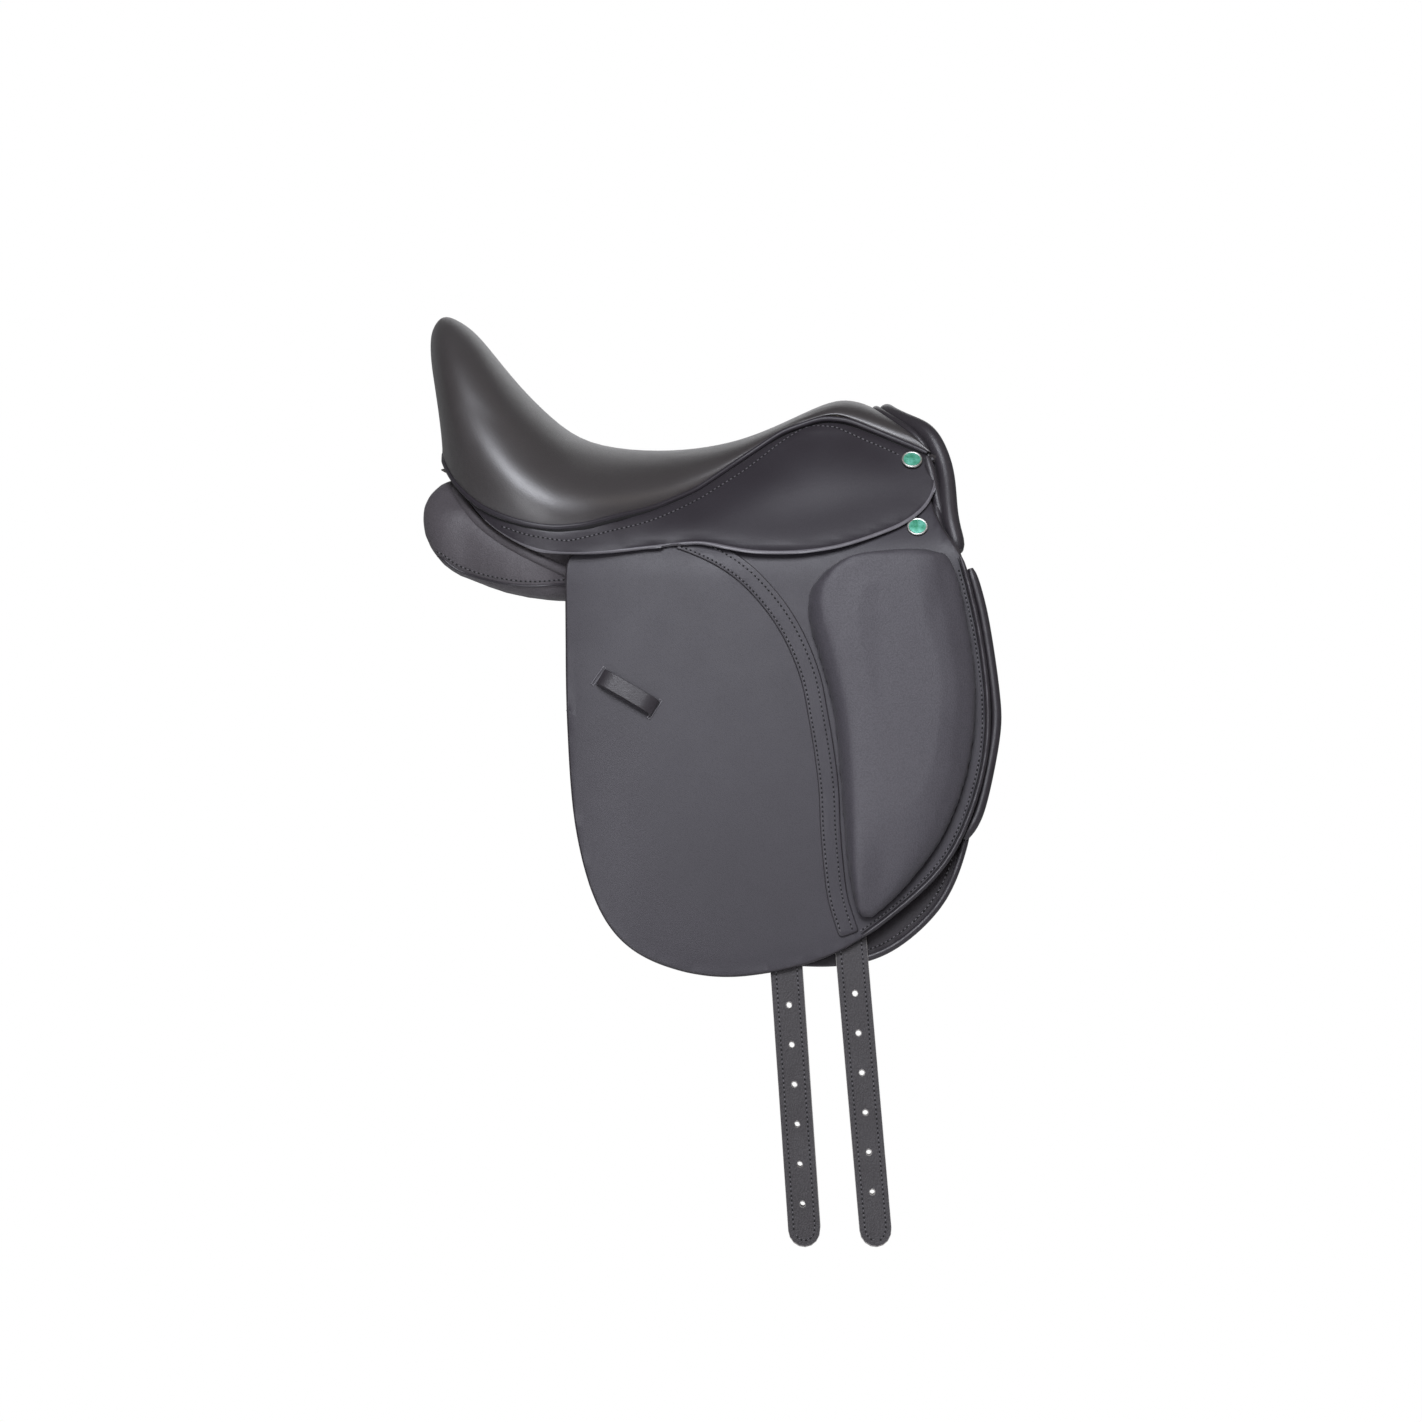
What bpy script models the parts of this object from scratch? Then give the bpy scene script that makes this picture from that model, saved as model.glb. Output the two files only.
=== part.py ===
"""English dressage saddle: tree, padded seat, skirts, flaps, knee blocks, panels and girth straps."""

import math

import bmesh
import bpy
import numpy as np
from mathutils import Matrix, Vector

for old in list(bpy.data.objects):
    bpy.data.objects.remove(old)
for old in list(bpy.data.collections):
    bpy.data.collections.remove(old)

# Frame: +X to the pommel, +Y to the horse's left, +Z up, with the origin on the middle plane at
# the level of the panels' lowest line. Sizes are in millimetres. w is a distance outwards from the
# middle plane, so a side's y is side * w.
MM = 0.001
SIDES = (("left", 1), ("right", -1))

# Clearances: between layers that lie on each other, and at a fold line.
LAYER_GAP = 0.4
REST_GAP = 0.3
FOLD_GAP = 0.8

# Seat and tree.
SEAT_LEATHER = 2.2
TREE_WALL = 7.0
RIM_FOAM = 10.4
WELT_WIDTH = 3.4
POMMEL_ROLL_WIDTH = 11.8
POMMEL_WELT_WIDTH = 6.2
FACING_LEATHER = 2.4

# Skirt and flap: leather thicknesses and the hinge line that the flap hangs from.
SKIRT_LEATHER = 3.2
SKIRT_SLOPE = 0.69
FLAP_LEATHER = 4.0
FLAP_LEAN = 0.175
HINGE_REAR = (-130.0, 141.0, 34.5)
HINGE_FRONT = (222.0, 128.0, 47.5)
TOP_LEATHER = 3.6
SWEAT_LEATHER = 3.2
SWEAT_ROLL_WIDTH = 8.4
STACK_GAP = 1.2

# Knee block, cover band and keeper, all on the flap's outer face.
BLOCK_HEIGHT = 27.0
BAND_LEATHER = 1.4
BAND_WIDTH = 13.0
KEEPER_LEATHER = 2.0
KEEPER_WIDTH = 15.0
KEEPER_RISE = 6.6
SLIT_CLEARANCE = 1.1

# Girth straps and the webbing that carries them.
STRAP_LEATHER = 4.2
STRAP_WIDTH = 28.5
HOLE_WIDTH = 5.2
HOLE_LENGTH = 6.0
HOLE_PITCH = 36.0
HOLE_COUNT = 6
WEB_WIDTH = 28.0
WEB_THICKNESS = 2.4

# Stirrup bar: plate, slot for the stirrup leather, bar and the catch at its open end.
BAR_PLATE = 2.0
BAR_SLOT = 6.6
BAR_THICKNESS = 3.6
BAR_WIDTH = 12.0
BAR_LENGTH = 80.0
CATCH_THICKNESS = 7.6

# Buttons.
BUTTON_WIDTH = 18.8
BUTTON_HEIGHT = 1.6
BUTTON_STEPS = 14
BUTTON_STAND = 0.8

FINISHES = {
    "seat leather": ((0.034, 0.032, 0.040), 0.42, 0.0),
    "flap leather": ((0.026, 0.023, 0.028), 0.46, 0.0),
    "trim leather": ((0.016, 0.014, 0.017), 0.38, 0.0),
    "strap leather": ((0.020, 0.018, 0.021), 0.50, 0.0),
    "panel leather": ((0.022, 0.019, 0.022), 0.55, 0.0),
    "foam": ((0.60, 0.55, 0.38), 0.95, 0.0),
    "laminated wood": ((0.42, 0.27, 0.13), 0.60, 0.0),
    "webbing": ((0.38, 0.34, 0.26), 0.95, 0.0),
    "brushed steel": ((0.55, 0.55, 0.56), 0.35, 1.0),
    "green enamel": ((0.10, 0.36, 0.24), 0.22, 0.3),
}


# Collections, finishes and objects

parts = bpy.data.collections.new("dressage_saddle")
cutters = bpy.data.collections.new("cutters")
for group in (parts, cutters):
    bpy.context.scene.collection.children.link(group)

saddle = bpy.data.objects.new("saddle_origin", None)
parts.objects.link(saddle)


def finish(obj, kind):
    """Gives an object a material of its own, with one of the finishes above."""
    colour, roughness, metallic = FINISHES[kind]
    material = bpy.data.materials.new(obj.name)
    material.use_nodes = True
    shader = material.node_tree.nodes["Principled BSDF"]
    shader.inputs["Base Color"].default_value = (*colour, 1.0)
    shader.inputs["Roughness"].default_value = roughness
    shader.inputs["Metallic"].default_value = metallic
    obj.data.materials.append(material)


def smooth(mesh, degrees=35):
    mesh.shade_smooth()
    mesh.set_sharp_from_angle(angle=math.radians(degrees))


def add(name, data, kind, frame=Matrix(), parent=None):
    """Links a new object to the saddle, placed by its frame."""
    obj = bpy.data.objects.new(name, data)
    parts.objects.link(obj)
    obj.parent = parent or saddle
    held = parent.matrix_world if parent else Matrix()
    obj.matrix_local = held.inverted() @ frame
    finish(obj, kind)
    return obj


def pivot(name, frame):
    """An empty on a joint: its own axes are the frame's."""
    empty = bpy.data.objects.new(name, None)
    parts.objects.link(empty)
    empty.empty_display_size = 0.03
    empty.parent = saddle
    empty.matrix_local = frame
    bpy.context.view_layer.update()
    return empty


def frame_of(origin, along_x, out):
    """A frame at a point (mm): X along one direction, Z along the other, squared up."""
    z = Vector(out).normalized()
    x = Vector(along_x)
    x = (x - z * x.dot(z)).normalized()
    y = z.cross(x)
    turned = Matrix((x, y, z)).transposed().to_4x4()
    return Matrix.Translation(Vector(origin) * MM) @ turned


# Curves through points

def spaced(points, count, closed=False):
    """Points at equal steps along a smooth curve through the given ones."""
    p = np.array(points, float)
    if closed:
        p = np.vstack([p[-1:], p, p[:2]])
        spans = len(p) - 3
    else:
        p = np.vstack([2 * p[0] - p[1], p, 2 * p[-1] - p[-2]])
        spans = len(p) - 3
    dense = []
    for k in range(spans):
        for t in np.linspace(0, 1, 12, endpoint=False):
            dense.append(spline_point(*p[k : k + 4], t))
    dense.append(p[spans + 1])
    dense = np.array(dense)
    run = np.concatenate([[0], np.cumsum(np.linalg.norm(np.diff(dense, axis=0), axis=1))])
    at = np.linspace(0, run[-1], count, endpoint=not closed)
    return np.stack([np.interp(at, run, dense[:, i]) for i in range(dense.shape[1])], axis=1)


def spline_point(a, b, c, d, t):
    """A point between b and c of the smooth curve through a, b, c and d."""
    return 0.5 * (2 * b + (c - a) * t + (2 * a - 5 * b + 4 * c - d) * t**2
                  + (3 * b - a - 3 * c + d) * t**3)


def along(keys, where):
    """A row between the rows of a table, at row number `where`, on a smooth curve."""
    keys = np.array(keys, float)
    k = min(int(where), len(keys) - 2)
    a = keys[k - 1] if k > 0 else 2 * keys[k] - keys[k + 1]
    d = keys[k + 2] if k + 2 < len(keys) else 2 * keys[k + 1] - keys[k]
    return spline_point(a, keys[k], keys[k + 1], d, where - k)


def arch(start, rise, middle, reach, shares):
    """One half section: from its foot, where it leaves by `rise`, to the middle line."""
    a = np.array(start, float)
    d = np.array([middle[0], 0.0, middle[1]])
    b = a + np.array(rise, float)
    c = d + np.array([0.0, reach, 0.0])
    t = np.array(shares, float)[:, None]
    return (1 - t)**3 * a + 3 * (1 - t)**2 * t * b + 3 * (1 - t) * t**2 * c + t**3 * d


def both_halves(half):
    """A left half, foot to middle, made whole: left foot to right foot."""
    return np.vstack([half, half[::-1][1:] * (1, -1, 1)])


def sided(points, side):
    """(x, w, z) turned into (x, y, z) of one side."""
    return np.array(points, float) * (1, side, 1)


def tangents(points):
    t = np.gradient(np.array(points, float), axis=0)
    return t / np.linalg.norm(t, axis=-1, keepdims=True)


def normals_of(grid, toward):
    """Unit normals of a grid of points, on the side that `toward` points to."""
    n = np.cross(np.gradient(grid, axis=0), np.gradient(grid, axis=1))
    n /= np.maximum(np.linalg.norm(n, axis=2, keepdims=True), 1e-9)
    return n if (n @ np.array(toward, float)).sum() > 0 else -n


# Ways to make a body

def grid_mesh(name, grid):
    """A mesh grid moved onto a net of points (mm), all its quads split along the same diagonal."""
    rows, columns = grid.shape[:2]
    shape = bmesh.new()
    bmesh.ops.create_grid(shape, x_segments=columns - 1, y_segments=rows - 1, size=1)
    shape.verts.ensure_lookup_table()
    for vert, place in zip(shape.verts, grid.reshape(-1, 3)):
        vert.co = place * MM
    bmesh.ops.triangulate(shape, faces=shape.faces, quad_method="FIXED")
    mesh = bpy.data.meshes.new(name)
    shape.to_mesh(mesh)
    shape.free()
    return mesh


def turn_towards(mesh, toward):
    """Turns an open surface's faces to the side that `toward` points to."""
    shape = bmesh.new()
    shape.from_mesh(mesh)
    shape.normal_update()
    facing = sum(face.normal.dot(Vector(toward)) * face.calc_area() for face in shape.faces)
    if facing < 0:
        bmesh.ops.reverse_faces(shape, faces=shape.faces)
    shape.to_mesh(mesh)
    shape.free()


def shell(name, grid, thickness, toward, kind):
    """An open surface with its thickness on the side away from `toward`."""
    mesh = grid_mesh(name, grid)
    turn_towards(mesh, toward)
    smooth(mesh)
    obj = add(name, mesh, kind)
    solid = obj.modifiers.new("thickness", "SOLIDIFY")
    solid.thickness = thickness * MM
    solid.offset = -1
    return obj


def between(name, outer, inner, kind, frame=Matrix(), parent=None):
    """A body between two nets of points of the same size, joined round their rims."""
    shape = bmesh.new()
    rows, columns = outer.shape[:2]
    nets = []
    for net in (outer, inner):
        verts = [shape.verts.new(place * MM) for place in net.reshape(-1, 3)]
        nets.append(np.array(verts, object).reshape(rows, columns))
    for i in range(rows - 1):
        for j in range(columns - 1):
            for net in nets:
                a, b, c, d = net[i, j], net[i, j + 1], net[i + 1, j + 1], net[i + 1, j]
                shape.faces.new((a, b, c))
                shape.faces.new((a, c, d))
    rims = []
    for net in nets:
        rims.append([*net[0], *net[1:, -1], *net[-1, -2::-1], *net[-2:0:-1, 0]])
    top, low = rims
    for k in range(len(top)):
        shape.faces.new((top[k - 1], top[k], low[k], low[k - 1]))
    bmesh.ops.recalc_face_normals(shape, faces=shape.faces)
    mesh = bpy.data.meshes.new(name)
    shape.to_mesh(mesh)
    shape.free()
    smooth(mesh)
    return add(name, mesh, kind, frame, parent)


def loft(name, rings, kind):
    """A body skinned over closed rings of points, with its two ends filled."""
    shape = bmesh.new()
    made = [[shape.verts.new(place * MM) for place in ring] for ring in rings]
    for ring, ahead in zip(made, made[1:]):
        for k in range(len(ring)):
            shape.faces.new((ring[k - 1], ring[k], ahead[k], ahead[k - 1]))
    shape.faces.new(made[0])
    shape.faces.new(made[-1][::-1])
    bmesh.ops.recalc_face_normals(shape, faces=shape.faces)
    mesh = bpy.data.meshes.new(name)
    shape.to_mesh(mesh)
    shape.free()
    smooth(mesh)
    return add(name, mesh, kind)


def bead(name, points, width, kind, sides=8, tip=0.6):
    """A round bead along a line of points, narrower at its two ends."""
    line = bpy.data.curves.new(name, "CURVE")
    line.dimensions = "3D"
    line.bevel_depth = width / 2 * MM
    line.bevel_resolution = (sides - 4) // 2
    line.use_fill_caps = True
    spline = line.splines.new("POLY")
    spline.points.add(len(points) - 1)
    for point, place in zip(spline.points, points):
        point.co = (*(place * MM), 1)
    spline.points[0].radius = tip
    spline.points[-1].radius = tip
    return add(name, line, kind)


def sheet(name, outline, thickness, kind, frame, depth=0.0, parent=None):
    """A flat outline (mm, in the frame's X and Y) cut from leather, its face `depth` below the frame."""
    flat = bpy.data.curves.new(name, "CURVE")
    flat.dimensions = "2D"
    flat.fill_mode = "BOTH"
    flat.extrude = thickness / 2 * MM
    spline = flat.splines.new("POLY")
    spline.points.add(len(outline) - 1)
    for point, (x, y) in zip(spline.points, outline):
        point.co = (x * MM, y * MM, 0, 1)
    spline.use_cyclic_u = True
    below = Matrix.Translation((0, 0, -(depth + thickness / 2) * MM))
    return add(name, flat, kind, frame @ below, parent)


def as_mesh(obj):
    """Makes a curve object a closed mesh under the same name, so that it can be cut."""
    bpy.context.view_layer.update()
    graph = bpy.context.evaluated_depsgraph_get()
    mesh = bpy.data.meshes.new_from_object(obj.evaluated_get(graph))
    shape = bmesh.new()
    shape.from_mesh(mesh)
    bmesh.ops.remove_doubles(shape, verts=shape.verts, dist=1e-6)
    bmesh.ops.recalc_face_normals(shape, faces=shape.faces)
    shape.to_mesh(mesh)
    shape.free()
    name = obj.name
    kept = bpy.data.objects.new(name + "_mesh", mesh)
    parts.objects.link(kept)
    kept.parent = obj.parent
    kept.matrix_local = obj.matrix_local.copy()
    bpy.data.objects.remove(obj)
    kept.name = name
    smooth(mesh)
    return kept


def soften(obj, width=0.5):
    """Breaks the sharp edges of a metal piece."""
    edges = obj.modifiers.new("edges", "BEVEL")
    edges.width = width * MM
    edges.segments = 1
    edges.limit_method = "ANGLE"
    return obj


def cut(obj, cutter):
    """Cuts one body out of another, and keeps the cutter out of the render."""
    for group in list(cutter.users_collection):
        group.objects.unlink(cutter)
    cutters.objects.link(cutter)
    cutter.hide_render = True
    cutter.display_type = "WIRE"
    made = obj.modifiers.new("cut", "BOOLEAN")
    made.operation = "DIFFERENCE"
    made.solver = "EXACT"
    made.object = cutter


# The seat: each station is a section from the welt to the middle line, from the foot of the
# cantle's back, over its rim, to the pommel. Columns: the welt's point (x, w, z), the middle
# line's point (x, z), how the section leaves the welt (x, w, z) and how flat it is at the middle.
SEAT = [
    (-240, 8, 131, -238, 134, 0, 0, 1, 4),
    (-239, 45, 127, -242, 158, -1, 3, 12, 25),
    (-235, 75, 117, -246, 186, -4, 5, 32, 45),
    (-228, 98, 105, -250, 214, -8, 6, 52, 60),
    (-218, 115, 94, -249.5, 239, -10, 6, 70, 68),
    (-206, 127, 84, -239, 253.8, -10, 6, 75, 68),
    (-190, 138, 76, -221, 247, -8, 5, 72, 72),
    (-170, 146, 69.5, -204, 232, -6, 4, 62, 75),
    (-146, 150, 64.5, -178, 200, -4, 4, 50, 78),
    (-118, 147, 66, -145, 166, -2, 3, 38, 78),
    (-90, 136, 73, -108, 142, 0, 2, 30, 72),
    (-52, 112, 82, -60, 134.6, 0, 0, 26, 60),
    (-14, 90, 98, -14, 136.3, 0, -1, 20, 50),
    (27, 69, 126, 27, 144.6, 0, -2, 10, 42),
    (63, 58, 150.4, 63, 158.6, 0, -3, 5, 36),
    (99, 54, 163, 99, 174.9, 0, -2, 8, 32),
    (122, 55, 161, 120, 179, 0, -1, 11, 32),
    (150, 61, 149.5, 134, 176.7, -1, -1, 14, 34),
    (178, 69, 138, 140, 174.3, -5, -3, 16, 36),
    (195, 76, 130.5, 142, 173.5, -7, -4, 15, 38),
]
# The tree's top for the same stations, from the cantle's rim on: its lower edge (x, w, z), the
# point under the welt (x, w, z), the middle line's point (x, z), the rise there and the flatness.
TREE = [
    (-197, 114, 82, -198, 113, 89, -222, 222, 40, 55),
    (-182, 124, 75, -184, 123, 82, -208, 207, 38, 58),
    (-165, 131, 69, -166, 130, 76, -191, 187, 34, 62),
    (-143, 134, 65, -144, 133, 72, -165, 160, 28, 66),
    (-117, 131, 65, -117, 130, 72, -136, 138, 20, 66),
    (-89, 121, 70, -89, 120, 77, -103, 121, 16, 62),
    (-52, 106, 74, -52, 99, 84, -57, 114.5, 10, 50),
    (-14, 99, 76, -14, 80, 97, -13, 116, 8, 40),
    (27, 94, 78, 27, 59, 122, 28, 126, 3, 30),
    (63, 92, 79, 63, 47, 142, 64, 140, 1, 25),
    (99, 93, 73, 99, 43, 153, 98, 152, 1, 22),
    (121, 95, 68, 121, 44, 151, 117, 156, 2, 22),
    (144, 98, 64, 144, 50, 141, 128, 154.5, 4, 22),
    (164, 101, 64, 164, 59, 131, 133, 152.5, 5, 22),
    (176, 98, 70, 176, 64, 125, 136, 151, 6, 22),
]
RIM_STATION = len(SEAT) - len(TREE)
CANTLE_ROWS = [0, 0.5, 1, 1.6, 2.3, 3, 3.7, 4.3]
SEAT_ROWS = CANTLE_ROWS + [5, 5.7, 6.5, 7.3, 8.2, 9.1] + list(range(10, 20))
SECTION_STEPS = np.array([0, 0.07, 0.16, 0.27, 0.4, 0.54, 0.69, 0.84, 1.0])
MIDDLE = len(SECTION_STEPS) - 1


def seat_section(where, shares):
    k = along(SEAT, where)
    return arch(k[0:3], k[5:8], k[3:5], k[8], shares)


def seat_shares(where):
    """Shares along a section, starting clear of the welt."""
    fine = seat_section(where, np.linspace(0, 1, 60))
    run = np.concatenate([[0], np.cumsum(np.linalg.norm(np.diff(fine, axis=0), axis=1))])
    first = min(WELT_WIDTH / 2 + 1.1, 0.3 * run[-1])
    return np.interp(first + SECTION_STEPS * (run[-1] - first), run, np.linspace(0, 1, 60))


def tree_section(where):
    k = along(TREE, where)
    lower = [k[0:3] + (k[3:6] - k[0:3]) * f for f in (0, 0.35, 0.7)]
    upper = arch(k[3:6], (0, -1, k[8]), k[6:8], k[9], [0, 0.08, 0.18, 0.3, 0.43, 0.57, 0.71, 0.86, 1])
    return both_halves(np.vstack([lower, upper]))


seat = np.array([both_halves(seat_section(r, seat_shares(r))) for r in SEAT_ROWS])
seat_out = normals_of(seat, (0, 0, 1))
shell("seat_cover", seat, SEAT_LEATHER, (0, 0, 1), "seat leather")

tree_top = np.array([tree_section(r - RIM_STATION) for r in SEAT_ROWS if r >= RIM_STATION])
tree_out = normals_of(tree_top, (0, 0, 1))
shell("tree", tree_top, TREE_WALL, (0, 0, 1), "laminated wood")

# The foam fills the space between the leather and the tree, and backs the cantle's rear face.
under_leather = SEAT_LEATHER + LAYER_GAP
foam_top = seat - under_leather * seat_out
foam_low = seat - (under_leather + RIM_FOAM) * seat_out
foam_low[len(CANTLE_ROWS):] = (tree_top + 0.7 * tree_out)[:, 3:-3]
between("seat_foam", foam_top[1:], foam_low[1:], "foam")

# The welt goes round the whole seat, the foot of the cantle included.
welt_line = np.array([along(SEAT, r)[0:3] for r in SEAT_ROWS])
welt_path = welt_line.copy()
welt_path[-1] += 0.15 * (welt_path[-2] - welt_path[-1])
bead("seat_welt", np.vstack([welt_path[::-1], welt_path * (1, -1, 1)]), WELT_WIDTH, "trim leather", 6)

# The facing below the foot of the cantle closes the seat down to the panels.
FOOT_ROWS = (0, 0.5, 1, 1.5, 1.9)
FOOT_LEVELS = (118, 117.6, 117, 115.8, 113)
foot_top = np.array([along(SEAT, r)[0:3] for r in FOOT_ROWS]) + (1.5, 0, -1.5 - WELT_WIDTH / 2)
foot_low = foot_top + (1.5, 0, 0)
foot_low[:, 2] = FOOT_LEVELS
foot_rows = [foot_top, 0.5 * (foot_top + foot_low), foot_low]
foot_net = np.array([np.vstack([row[::-1], row * (1, -1, 1)]) for row in foot_rows])
shell("rear_facing", foot_net, FACING_LEATHER, (-1, 0, 0), "flap leather")

# The pommel's two rolls follow the seat's front edge, then run down before the flap's top.
front = seat[-1, : MIDDLE + 1]
front_out = seat_out[-1, : MIDDLE + 1]
edge_run = tangents(front)
ahead = front - seat[-2, : MIDDLE + 1]
ahead -= edge_run * (ahead * edge_run).sum(axis=1, keepdims=True)
ahead /= np.linalg.norm(ahead, axis=1, keepdims=True)
ahead[-1] = (0.98, 0, -0.2)
welt_ahead = POMMEL_WELT_WIDTH / 2 + 1.1
roll_ahead = welt_ahead + (POMMEL_WELT_WIDTH + POMMEL_ROLL_WIDTH) / 2 + LAYER_GAP
roll_lift = np.linspace(3.5, 0.0, MIDDLE + 1)[:, None]
WELT_LEG = [(210.5, 114, 46), (202.2, 103, 70), (200.2, 91, 89), (200.2, 81.5, 103), (199.4, 74, 113.5),
            (197, 68.5, 123)]
ROLL_LEG = [(221.5, 115.5, 41), (214, 106, 66), (211.8, 97, 82), (210.2, 83, 106.5), (206.5, 73, 125)]
welt_half = np.vstack([WELT_LEG, (front + welt_ahead * ahead - 1.2 * front_out)[2:]])
roll_half = np.vstack([ROLL_LEG, (front + roll_ahead * ahead + roll_lift * front_out)[2:]])


def whole_arch(half, count):
    half = spaced(half, 40)
    half[-1, 1] = 0
    return spaced(both_halves(half), count)


bead("pommel_roll", whole_arch(roll_half, 46), POMMEL_ROLL_WIDTH, "trim leather", 8)
bead("pommel_welt", whole_arch(welt_half, 46), POMMEL_WELT_WIDTH, "trim leather", 6)

# The facing under the pommel joins the roll to the gullet, passing below the tree's front.
roll_line = spaced(roll_half, 60)
below_tree = TREE_WALL + 2.8
under = [tree_top[-k, 2:12] - below_tree * tree_out[-k, 2:12] - (0, 0, 1.5) for k in (1, 2, 3)]
first_row = []
for p in under[0]:
    q = np.array([np.interp(-(p[1] + 3), -roll_line[:, 1], roll_line[:, k]) for k in range(3)])
    first_row.append(q + np.array([-2.5, -0.1 * q[1], 0.045 * q[1] - POMMEL_ROLL_WIDTH / 2 - 2.7]))
first_row = np.array(first_row)
for row in [first_row] + under:
    row[-1, 1] = 0
second_row = 0.5 * (first_row + under[0]) + (2.0, 0, -3.5)
facing_rows = [first_row, second_row, under[0] + (1.0, 0, 0), under[1], under[2]]
facing_net = np.array([both_halves(row) for row in facing_rows])
shell("head_facing", facing_net, SEAT_LEATHER, (0, 0, 1), "flap leather")


# The flap's plane: X runs forward along the hinge line, Z points out of the flap's outer face
def hinge_point(x):
    """(w, z) of the hinge line at x."""
    share = (x - HINGE_REAR[0]) / (HINGE_FRONT[0] - HINGE_REAR[0])
    w = HINGE_REAR[1] + (HINGE_FRONT[1] - HINGE_REAR[1]) * share
    z = HINGE_REAR[2] + (HINGE_FRONT[2] - HINGE_REAR[2]) * share
    return w, z


def hinge_z(x):
    return hinge_point(x)[1]


HINGE_RUN = np.array(HINGE_FRONT) - np.array(HINGE_REAR)
PLANE_OUT = np.cross(HINGE_RUN, (0, FLAP_LEAN, -1.0))
PLANE_OUT /= np.linalg.norm(PLANE_OUT)


def on_flap(x, z, depth=0.0):
    """The point (x, w, z) of the flap's plane seen at x and z from the side, `depth` inwards."""
    w, level = hinge_point(x)
    return np.array([x, w + FLAP_LEAN * (level - z), z]) - depth * PLANE_OUT


def flap_frame(side):
    return frame_of(sided(on_flap(0, hinge_z(0)), side), sided(HINGE_RUN, side), sided(PLANE_OUT, side))


def in_frame(points, frame):
    """World points (mm) in a frame's own coordinates (mm)."""
    back = np.array(frame.inverted())
    points = np.array(points, float)
    return points @ back[:3, :3].T + back[:3, 3] / MM


def flap_outline(points, side):
    """An outline given in side view, laid on the flap's plane."""
    world = [sided(on_flap(x, z), side) for x, z in points]
    return in_frame(world, flap_frame(side))[:, :2]


# Depths behind the flap's outer face: strap, then sweat flap, each with the stack's gap.
STRAP_DEPTH = FLAP_LEATHER + STACK_GAP
SWEAT_DEPTH = STRAP_DEPTH + STRAP_LEATHER + STACK_GAP

# Outlines in side view (x, z), front edge first, then the rear edge upwards. The ends of the top
# edges are given by x alone, because those edges follow the hinge line.
FLAP_TOP = (-129.5, 221.5)
FLAP_EDGE = [(222, 46), (225, 36), (241.2, -33.8), (248.3, -108.6), (238.5, -171.3), (210.9, -233.8),
             (161.1, -282.1), (108.6, -315.9), (46.3, -332.9), (-8.9, -334.3), (-66, -314.7), (-99.9, -275.5),
             (-121, -202.5), (-128.7, -103.2), (-129.9, 1.2), (-129.5, 33)]
SWEAT_TOP = (-52.0, 216.0)
SWEAT_TOP_DROP = 6.0
SWEAT_EDGE = [(226, 33), (239.2, -11.6), (249.9, -83.7), (249.9, -121), (234.5, -190), (226.1, -226.1),
              (208.7, -268.8), (173.6, -303.5), (143.8, -320), (89, -324.9), (0, -310), (-44, -255),
              (-56, -120), (-58, 30)]
SWEAT_ROLL_LINE = [(229.6, 33.5), (242.1, -12), (252.8, -84), (252.8, -121), (239, -187), (224.5, -212)]


def flap_sheet(name, side, parent):
    """The flap: its top edge keeps half the fold's gap below the hinge line."""
    top = [(x, hinge_z(x)) for x in FLAP_TOP]
    rest = spaced(FLAP_EDGE, 52)[1:-1]
    outline = flap_outline(top + [tuple(p) for p in rest], side)
    outline[:2, 1] += side * FOLD_GAP / 2
    return sheet(name, outline, FLAP_LEATHER, "flap leather", flap_frame(side), 0, parent)


def sweat_sheet(name, side):
    top = [(x, hinge_z(x) - SWEAT_TOP_DROP) for x in SWEAT_TOP]
    rest = [tuple(p) for p in spaced(SWEAT_EDGE, 42)[:-1]]
    outline = flap_outline(top + rest, side)
    return sheet(name, outline, SWEAT_LEATHER, "panel leather", flap_frame(side), SWEAT_DEPTH)


# The keeper: a strap over the flap whose two ends go in through slits.
KEEPER_ENDS = np.array([(-98.5, -68.5), (-49.5, -97.0)])


def keeper_frame(side):
    """On the flap's face at the first slit, X towards the second one."""
    a, b = [sided(on_flap(*end), side) for end in KEEPER_ENDS]
    return frame_of(a, b - a, sided(PLANE_OUT, side))


def keeper_length():
    a, b = [on_flap(*end) for end in KEEPER_ENDS]
    return np.linalg.norm(b - a)


def keeper_path():
    """(run, depth) of the strap's middle: tab, slit, bridge, slit, tab."""
    tab = FLAP_LEATHER + 1.3 + KEEPER_LEATHER / 2
    top = KEEPER_RISE + KEEPER_LEATHER / 2
    half = [(-11, tab + 0.3), (-3, tab), (0, tab - 1.1), (0.4, 1), (1.2, -4), (5, 1 - top), (14, 0.2 - top),
            (keeper_length() / 2, -top)]
    far = [(keeper_length() - run, depth) for run, depth in half[::-1][1:]]
    return np.array(half + far)


def strip_profile(path, thickness):
    """The closed outline of a strip whose middle follows the path."""
    run = tangents(path)
    off = np.stack([-run[:, 1], run[:, 0]], axis=1) * thickness / 2
    return np.vstack([path + off, (path - off)[::-1]])


def keeper_strap(name, side, parent):
    """The strap's profile lies in X and Z of the keeper's frame, so it is turned on edge there."""
    path = keeper_path() * (1, -1)
    on_edge = keeper_frame(side) @ Matrix.Rotation(math.pi / 2, 4, "X")
    middle = Matrix.Translation((0, 0, KEEPER_WIDTH / 2 * MM))
    outline = strip_profile(path, KEEPER_LEATHER)
    return sheet(name, outline, KEEPER_WIDTH, "trim leather", on_edge @ middle, 0, parent)


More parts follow.
